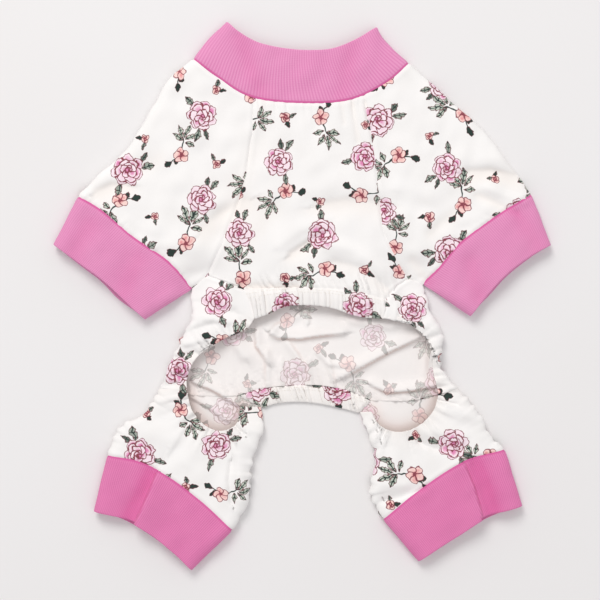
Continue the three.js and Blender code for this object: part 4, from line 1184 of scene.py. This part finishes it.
def backEdge(seams):
    return chain((seams["raglan"], back["raglanRows"] / bodyRows), (seams["pit"], tipRow / bodyRows),
                 (seams["flank"], 1))


def wrapPlan(seams):
    rim = chain((seams["side"], back["sideUntil"]), (seams["hemEnd"], back["hemEndUntil"]),
                (seams["rimUpper"], 1))
    return drawnIn(patch(backwards(seams["pit"]), seams["groin"], seams["flank"], rim), left=halfWall)


def wrapTurn(layer):
    return [dict(station, layer=layer) for station in turnStations(0, back["turnSteps"])
            if station["layer"] == "upper" and station["lift"] > 0]


def underTurn(side):
    return [station for station in turnStations(side, back["turnSteps"]) if station["layer"] == "under"]


def creaseAt(side):
    return [{"layer": "under", "edge": side, "turn": 0, "lift": 0}]


bottom = chain((sides["left"]["thighBack"], back["thighUntil"]), (tailTop, back["tailUntil"]),
               (backwards(sides["right"]["thighBack"]), 1))
edges = [backEdge(seams) for seams in sides.values()]
plans = {key: wrapPlan(seams) for key, seams in sides.items()}
plans["under"] = drawnIn(patch(stretch(collarSeam, *meets), bottom, *edges), end=-back["pastTail"],
                         left=halfWall, right=halfWall)
stations = (flatStations("left", back["wrapColumns"], 1, 0)[::-1] + wrapTurn("left") + creaseAt(0)
            + underTurn(0) + flatStations("under", back["columns"], 1, 1) + underTurn(1)[::-1]
            + creaseAt(1) + wrapTurn("right")[::-1] + flatStations("right", back["wrapColumns"], 1, 0))
rowNumber = np.arange(bodyRows + 1)
place = np.zeros((bodyRows + 1, len(stations), 2))
for column, station in enumerate(stations):
    plan = plans[station["layer"]]
    onUnder = station["layer"] == "under"
    u = rowNumber / bodyRows if onUnder else np.maximum(0, (rowNumber - tipRow) / back["flankRows"])
    width = np.linalg.norm(plan(u, 0) - plan(u, 1), axis=-1)
    reach = np.minimum(suit["foldReach"] / width, suit["mostReach"])
    place[:, column] = plan(u, across(station, reach))
share = np.array([0.5 + (-0.5 if station["layer"] == "under" else 0.5) * station["lift"]
                  for station in stations])
# the lift of the sides starts a little above the underarm's tip and is full at it
rising = back["risingRows"]
starting = easedIn(rowNumber - tipRow + rising, rising)[:, None]
low, high = underHeight(place, suit["clothWall"]), upperHeight(place)
grid = withThird(place, low + (high - low) * share * starting)
leftFold, rightFold = mirrorAcross("tipLeft", "groinLeft"), mirrorAcross("tipRight", "groinRight")
cloth = clothPlaces(grid, stations, place[:, 0], leftFold, rightFold)
# the under part and the right wrap keep the print as it is on flat cloth, so the mismatch of the
# curved sides stays in the creases
middleRow = tipRow + back["flankRows"] // 2
for layer, turnOver in (("under", leftFold), ("right", leftFold @ rightFold)):
    part = [k for k, station in enumerate(stations)
            if station["layer"] == layer and ("share" in station or layer == "right")]
    first = place[middleRow, part[0]]
    cloth[:, part] = cloth[middleRow, part[0]] + (place[:, part] - first) @ turnOver.T
# the right leg's print carries on from the last row of the right wrap, and the under part of
# both legs from the back panel's beside its creases
seamStart, seamEnd = place[-1, -1], place[-1, -back["wrapColumns"]]
clothStart, clothEnd = cloth[-1, -1], cloth[-1, -back["wrapColumns"]]
creaseLeft = next(k for k, station in enumerate(stations) if station["lift"] == 0)
creaseRight = len(stations) - 1 - creaseLeft
legColumns = {"left": creaseLeft + back["legStep"], "right": creaseRight - back["legStep"]}
legStarts = {key: (place[-1, column], cloth[-1, column]) for key, column in legColumns.items()}
along, width = runs(grid)
fromLeft, fromRight = width, width[:, -1:] - width
toTail = along[-1] - along
wrapped = easedIn(rowNumber - tipRow, back["flankRows"])[:, None]
columnNumber = np.arange(len(stations))[None, :]
onLeft = columnNumber <= creaseLeft + back["turnSteps"] - 1
onRight = columnNumber >= creaseRight - back["turnSteps"] + 1
underPart = ~onLeft & ~onRight
rimShare = easedIn(wrapped - back["rimFrom"], back["rimWithin"])
amount = np.zeros(share.shape)
for on, seams in ((onLeft, sides["left"]), (onRight, sides["right"])):
    amount = amount + on * share ** 2 * puckers(place, rimPath(seams), rimLook, seams["seed"])
    amount = amount + on * aboutFold(share) * puckers(place, sidePath(seams), sideLook, seams["seed"] + 10)
amount = amount * (wrapped > 0)
grid[..., 2] += underPart * np.abs(gathers(width - width[:, -1:] / 2, toTail, *back["tailGathers"]))
grid = shiftOut(grid, amount, False)
grid[..., 2] = np.maximum(grid[..., 2], halfWall)
cells = columnNumber[:, :-1]
kept = (rowNumber[:-1, None] >= tipRow) | ((cells >= creaseLeft) & (cells < creaseRight))
# painted shade: near the wrap's edges at the rims, and inside under the rims and at the feet of folds
paintedShade = np.exp(-fromLeft / shadeReach) * onLeft + np.exp(-fromRight / shadeReach) * onRight
paintedShade = np.clip(paintedShade + underPart * back["underShade"], 0, 1) * rimShare * back["rimShade"]
toward = back["farShade"] + (1 - back["farShade"]) * np.exp(-toTail / shadeReach)
shadeUnder = toward * hollowShade(place)
shadeUnder = underPart * (shadeUnder + back["foldShade"] * footShade(place, underCreases))
relief = (1 - rimShare) * (seamDip(fromLeft) * onLeft + seamDip(fromRight) * onRight)
relief = np.where(rowNumber[:, None] < tipRow, seamDip(along) * underPart, relief) * (share > 0.4)
grid, cloth, kept, relief = turnedRound(grid, withThird(cloth, paintedShade + shadeUnder), kept, relief)
backPanel = clothSheet("backPanel", grid, suit["clothWall"], cloth, jerseyLooks, relief=relief, kept=kept)[0]
ride(backPanel, "back_panel")
report(backPanel, (0.330, 0.262))
print("back panel made")

# sleeves: folded along the shoulder, open toward the raglan seams
sleeve = {"rows": 108, "upperColumns": 70, "underColumns": 60, "raglanUntil": 10 / 11,
          "printShift": {"left": (70, 20), "right": (160, 90)}, "printTurn": {"left": 24, "right": -31},
          "creaseShade": 0.5, "rippleHeight": 0.35, "rippleSize": 21, "cuffGathers": (7, 0.22, 6, 45)}
stations = openSection(sleeve["upperColumns"], sleeve["underColumns"])
for key, seams in sides.items():
    side = key.capitalize()
    neckline = stretch(collarSeam, seams["neckShare"], seams["meet"])
    armhole = chain((seams["raglan"], sleeve["raglanUntil"]), (seams["pit"], 1))
    plan = drawnIn(patch(neckline, seams["frontSeam"], seams["shoulder"], armhole), left=halfWall)
    grid = layered({"upper": plan, "under": plan}, suit["clothWall"], sleeve["rows"], stations)[0]
    along, width = runs(grid)
    toEnd = along[-1] - along
    fold = mirrorAcross("neck" + side, "shoulder" + side)
    cloth = clothPlaces(grid, stations, grid[:, 0, :2], fold, fold)
    cloth = cloth @ turnBy(math.radians(sleeve["printTurn"][key])).T + sleeve["printShift"][key]
    # painted shade in the deep creases
    cloth = withThird(cloth, sleeve["creaseShade"] * paintedCreaseShade(grid[..., :2], upperCreases))
    amount = sleeve["rippleHeight"] * ripple(np.stack([along, width], axis=2), sleeve["rippleSize"], 44)
    amount = amount * easedIn(along, 20) + gathers(width, toEnd, *sleeve["cuffGathers"])
    grid = shiftOut(grid, amount, False)
    if key == "left":
        grid, cloth, along, width, toEnd = turnedRound(grid, cloth, along, width, toEnd)
    ends = np.minimum(width, np.abs(width - width.max(axis=1, keepdims=True)))
    made = clothSheet("sleeve" + side, grid, suit["clothWall"], cloth, jerseyLooks,
                      relief=seamDip(along, toEnd, ends))[0]
    ride(made, "sleeve_" + key)
    report(made, (0.205, 0.150))
print("sleeves made")

# legs: tubes from the groin, the lower rim and the crotch to the hind cuffs
leg = {"rows": 84, "upperColumns": 72, "underColumns": 52, "groinUntil": 0.2, "rimUntil": 0.88,
       "thighUntil": 0.78, "pastTail": 0.2, "rimShade": 0.3, "foldShade": 0.5}
stations = closedSection(leg["upperColumns"], leg["underColumns"])
beneath = np.array([station["layer"] == "under" for station in stations])
firstOver = len(stations) - np.argmax(beneath[::-1])


def carryOn(place, fromStart, fromEnd, toStart, toEnd):
    # turns and shifts places as one pair of points lies to another
    old, new = fromEnd - fromStart, toEnd - toStart
    angle = math.atan2(new[1], new[0]) - math.atan2(old[1], old[0])
    return (place - fromStart) @ turnBy(angle).T + toStart


for key, seams in sides.items():
    side = key.capitalize()
    rim = chain((seams["groin"], leg["groinUntil"]), (seams["rimLower"], leg["rimUntil"]),
                (seams["crotch"], 1))
    behind = chain((seams["thighBack"], leg["thighUntil"]), (seams["tailEnd"], 1))
    upperPlan, underPlan = (patch(start, seams["hindSeam"], seams["thigh"], seams["inner"])
                            for start in (rim, behind))
    plans = {"upper": drawnIn(upperPlan, left=halfWall, right=halfWall),
             "under": drawnIn(underPlan, start=-leg["pastTail"], left=halfWall, right=halfWall)}
    grid, upper = layered(plans, suit["clothWall"], leg["rows"], stations)
    cloth = clothPlaces(grid, stations, grid[:, 0, :2], mirrorAcross("groin" + side, "ankle" + side),
                        mirrorAcross("crotch" + side, "calf" + side))
    if key == "right":
        cloth = carryOn(cloth, seamStart, seamEnd, clothStart, clothEnd)
    # from its first column the print also runs on over the inner edge, down to its crease
    ring = np.concatenate([grid[:, :1], grid[:, :firstOver - 1:-1]], axis=1)
    over = np.cumsum(np.linalg.norm(np.diff(ring, axis=1), axis=2), axis=1)
    outward = cloth[:, 0] - cloth[:, 1]
    outward /= np.linalg.norm(outward, axis=1, keepdims=True)
    cloth[:, :firstOver - 1:-1] = cloth[:, :1] + outward[:, None] * over[..., None]
    startPlace, startCloth = legStarts[key]
    cloth[:, beneath] = startCloth + (grid[:, beneath, :2] - startPlace) @ leftFold.T
    along = runs(grid)[0]
    flat, seed = grid[..., :2], seams["seed"]
    amount = upper ** 2 * puckers(flat, rimPath(seams), rimLook, seed)
    amount += aboutFold(upper) * puckers(flat, sidePath(seams), sideLook, seed + 10)
    amount += aboutFold(upper) * puckers(flat, seams["inner"], sideLook, seed + 20)
    grid = shiftOut(grid, amount * easedIn(along[-1] - along, 6), True)
    grid[..., 2] = np.maximum(grid[..., 2], halfWall)
    grid, cloth = closeRing(grid, cloth)
    along = runs(grid)[0]
    toEnd, flat = along[-1] - along, grid[..., :2]
    # painted shade: on the under layer under the rims and at the feet of folds, on the upper near its rim
    deepShade = hollowShade(flat) + leg["foldShade"] * footShade(flat, underCreases)
    shade = np.where(np.append(beneath, beneath[0])[None, :], deepShade,
                     leg["rimShade"] * np.exp(-along / shadeReach))
    cloth = withThird(cloth, shade)
    if key == "left":
        grid, cloth, toEnd = turnedRound(grid, cloth, toEnd)
    made = clothSheet("leg" + side, grid, suit["clothWall"], cloth, jerseyLooks, closed=True,
                      relief=seamDip(toEnd))[0]
    ride(made, "leg_" + key)
    report(made, (0.165, 0.105))
print("legs made")

# rib bands: doubled rib, its ridges run along the tube and wrap over the folded edge. Pitch is
# that of the ridges; the under hem of a cuff bulges past the upper one, which is drawn up by a notch
bands = {
    "collar": {"rows": 24, "columns": (500, 340), "pitch": 2.2, "deepness": 0},
    "frontCuff": {"rows": 26, "columns": (320, 230), "pitch": 1.6, "deepness": 0,
                  "bulge": {"left": 1.6, "right": 0.6}, "notch": 0, "notchDepth": 0},
    "hindCuff": {"rows": 26, "columns": (300, 210), "pitch": 1.5, "deepness": 0.65,
                 "bulge": {"left": 0, "right": 0}, "notch": 0.37, "notchDepth": 1.8},
}
bandTurnSteps = 24
bandSwell = (0.12, 24, 61)
bandShade = 0.5
hemBulge = {"at": 0.7, "width": 0.13}
notchFade = 0.2
ribSeam = {"sinks": 0.6, "sinksOver": 1.5, "dip": 0.7, "dipWidth": 1.1}
halfRib = suit["ribWall"] / 2


def bandPlan(*seamLines):
    return drawnIn(patch(*seamLines), end=0, left=halfRib, right=halfRib)


def ribBand(name, node, plans, look, flip, flat):
    stations = (flatStations("upper", look["columns"][0], 1, 1)[::-1] + turnStations(0, bandTurnSteps)
                + flatStations("under", look["columns"][1], 1, 1) + turnStations(1, bandTurnSteps)[::-1])
    grid = layered(plans, suit["ribWall"], look["rows"], stations, lift=rib["height"] / 2)[0]
    height, size, seed = bandSwell
    grid = closeRing(shiftOut(grid, height * ripple(grid[..., :2], size, seed), True))
    along, width = runs(grid)
    ribs = round(width[look["rows"] // 2, -1] / look["pitch"])
    phase = width / width[:, -1:] * ribs
    # the ridges sink at the seam, which dips
    sinking = 1 - ribSeam["sinks"] * np.exp(-(along / ribSeam["sinksOver"]) ** 2)
    relief = rib["height"] * 0.5 * np.cos(2 * math.pi * phase) * sinking
    relief = relief - ribSeam["dip"] * np.exp(-(along / ribSeam["dipWidth"]) ** 2)
    # painted shade in the creases of the upper layer, where the band lies on top
    shade = paintedCreaseShade(grid[..., :2], upperCreases) + footShade(grid[..., :2], upperCreases)
    onTop = grid[..., 2] > suit["ribWall"] * 1.5
    cloth = np.stack([phase, along, look["deepness"] + bandShade * shade * onTop], axis=2)
    if flip:
        grid, cloth, relief = turnedRound(grid, cloth, relief)
    made = clothSheet(name, grid, suit["ribWall"], cloth, [ribKnit], closed=True, relief=relief,
                      rimSteps=5)[0]
    ride(made, node)
    report(made, flat)


plan = bandPlan(collarSeam, between("mouthLeft", "mouthRight", "collarMouth"),
                between("neckLeft", "mouthLeft", "collarSideLeft"),
                between("neckRight", "mouthRight", "collarSideRight"))
ribBand("ribCollar", "collar", {"upper": plan, "under": plan}, bands["collar"], False, (0.365, 0.040))


def cuffPlans(seams, end, look, bulge):
    seamLine, hem = seams[end + "Seam"], seams[end + "Hem"]
    fall = hem(0.5) - seamLine(0.5)
    fall = fall / np.linalg.norm(fall)

    def longerHem(share):
        share = np.asarray(share, float)
        extra = suit["cuffOverhang"] * np.sin(math.pi * share)
        extra = extra + bulge * np.exp(-((share - hemBulge["at"]) / hemBulge["width"]) ** 2)
        return hem(share) + fall * extra[..., None]

    def notchedHem(share):
        share = np.asarray(share, float)
        drawnUp = look["notchDepth"] * easedIn(share - look["notch"] + notchFade, notchFade)
        drawnUp = drawnUp * (share < look["notch"])
        return hem(share) - fall * drawnUp[..., None]

    return {"upper": bandPlan(seamLine, notchedHem, seams[end + "Outer"], seams[end + "Inner"]),
            "under": bandPlan(seamLine, longerHem, seams[end + "Outer"], seams[end + "Inner"])}


for key, seams in sides.items():
    for end, flat in (("front", (0.205, 0.043)), ("hind", (0.205, 0.046))):
        look = bands[end + "Cuff"]
        ribBand(end + "Cuff" + key.capitalize(), end + "_cuff_" + key,
                cuffPlans(seams, end, look, look["bulge"][key]), look, key == "left", flat)
print("rib bands made")

# stitches: short thread capsules set along paths that lie on the cloth
stitch = {"pitch": 2.6, "length": 1.7, "thickness": 0.42}
stitchTree, given, result = newGroup("stitchRow", "GeometryNodeTree", [
    ("Paths", "NodeSocketGeometry", None), ("Pitch", floats, 0.0026), ("Length", floats, 0.0017),
    ("Thickness", floats, 0.0004), ("Thread", "NodeSocketMaterial", None)],
    [("Stitches", "NodeSocketGeometry")])
route = add(stitchTree, "GeometryNodeMeshToCurve", given["Paths"])
spaced = add(stitchTree, "GeometryNodeResampleCurve", route, named={"Length": given["Pitch"]}, mode="LENGTH")
capsule = add(stitchTree, "GeometryNodeMeshUVSphere", named={"Segments": 6, "Rings": 4, "Radius": 0.5})
size = add(stitchTree, "CombineXYZ", given["Length"], given["Thickness"], given["Thickness"])
shaped = add(stitchTree, "GeometryNodeTransform", capsule, named={"Scale": size})
tangent = add(stitchTree, "GeometryNodeInputTangent")
facing = add(stitchTree, "FunctionNodeAlignRotationToVector", axis="X", named={"Vector": tangent})
placed = add(stitchTree, "GeometryNodeInstanceOnPoints", spaced,
             named={"Instance": shaped, "Rotation": facing})
solid = add(stitchTree, "GeometryNodeRealizeInstances", placed)
coated = add(stitchTree, "GeometryNodeSetMaterial", solid, named={"Material": given["Thread"]})
stitchTree.links.new(coated, result["Stitches"])


def stitchesAlong(name, paths):
    points, edges = [], []
    for path in paths:
        edges += [(len(points) + k, len(points) + k + 1) for k in range(len(path) - 1)]
        points += (path * mm).tolist()
    mesh = bpy.data.meshes.new(name + "Paths")
    mesh.from_pydata(points, edges, [])
    carrier = newObject(name + "Paths", mesh)
    modifier = carrier.modifiers.new("stitches", "NODES")
    modifier.node_group = stitchTree
    values = {"Pitch": stitch["pitch"] * mm, "Length": stitch["length"] * mm,
              "Thickness": stitch["thickness"] * mm, "Thread": thread}
    for item in stitchTree.interface.items_tree:
        if item.name in values:
            modifier[item.identifier] = values[item.name]
    plain = bpy.data.meshes.new_from_object(carrier.evaluated_get(bpy.context.evaluated_depsgraph_get()))
    bpy.data.objects.remove(carrier)
    made = newObject(name, plain)
    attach(made, "root")
    return made


# two rows of stitches on each casing, a hair above the cloth
stitchedRows = (2, 4)
raised = np.array([0, 0, 0.08])
paths = [outer[row] + raised for outer in (bellyOuter, tailOuter) for row in stitchedRows]
stitches = stitchesAlong("casingStitches", paths)
print("stitches made", len(stitches.data.polygons))

# floor and light
floorLook = {"size": 3.0, "drop": 0.0003, "pale": "#EEEDEE", "paleWarm": "#EAE7E6"}
half, below = floorLook["size"] / 2, -floorLook["drop"]
mesh = bpy.data.meshes.new("floor")
mesh.from_pydata([(-half, -half, below), (half, -half, below), (half, half, below), (-half, half, below)],
                 [], [(0, 1, 2, 3)])
floor = newObject("floor", mesh)
paper, tree = newMaterial("paleMattFloor")
place = add(tree, "TexCoord", out="Object")
patchy = add(tree, "TexNoise", place, named={"Scale": 3.0, "Detail": 2.0})
shade = add(tree, "Mix", **rgba, named={
    0: patchy, 6: linear(floorLook["pale"]), 7: linear(floorLook["paleWarm"])})
shader = add(tree, "BsdfPrincipled", out="BSDF", named={
    "Base Color": shade, "Roughness": 0.95, "Specular IOR Level": 0.1})
add(tree, "OutputMaterial", shader)
mesh.materials.append(paper)

# a wide soft box above the top edge of the frame, a weak one opposite, and a pale room
lights = {
    "keyLight": {"place": (-0.8, 2.0, 2.3), "size": 1.6, "power": 48, "colour": "#FFFDFB"},
    "fillLight": {"place": (0.5, -0.8, 2.6), "size": 2.0, "power": 10, "colour": "#FBFAFF"},
}
for name, look in lights.items():
    lamp = bpy.data.lights.new(name, "AREA")
    lamp.shape = "DISK"
    lamp.size = look["size"]
    lamp.energy = look["power"]
    lamp.color = linear(look["colour"])[:3]
    holder = newObject(name, lamp)
    holder.location = look["place"]
    x, y, z = look["place"]
    holder.rotation_euler = (math.atan2(math.hypot(x, y), z), 0, math.atan2(x, -y))
roomLook = {"colour": "#FFFFFF", "strength": 0.58}
room = bpy.data.worlds.new("paleRoom")
room.use_nodes = True
background = room.node_tree.nodes["Background"].inputs
background["Color"].default_value = linear(roomLook["colour"])
background["Strength"].default_value = roomLook["strength"]
bpy.context.scene.world = room
bpy.context.scene.view_settings.view_transform = "Standard"
print("floor and light made")
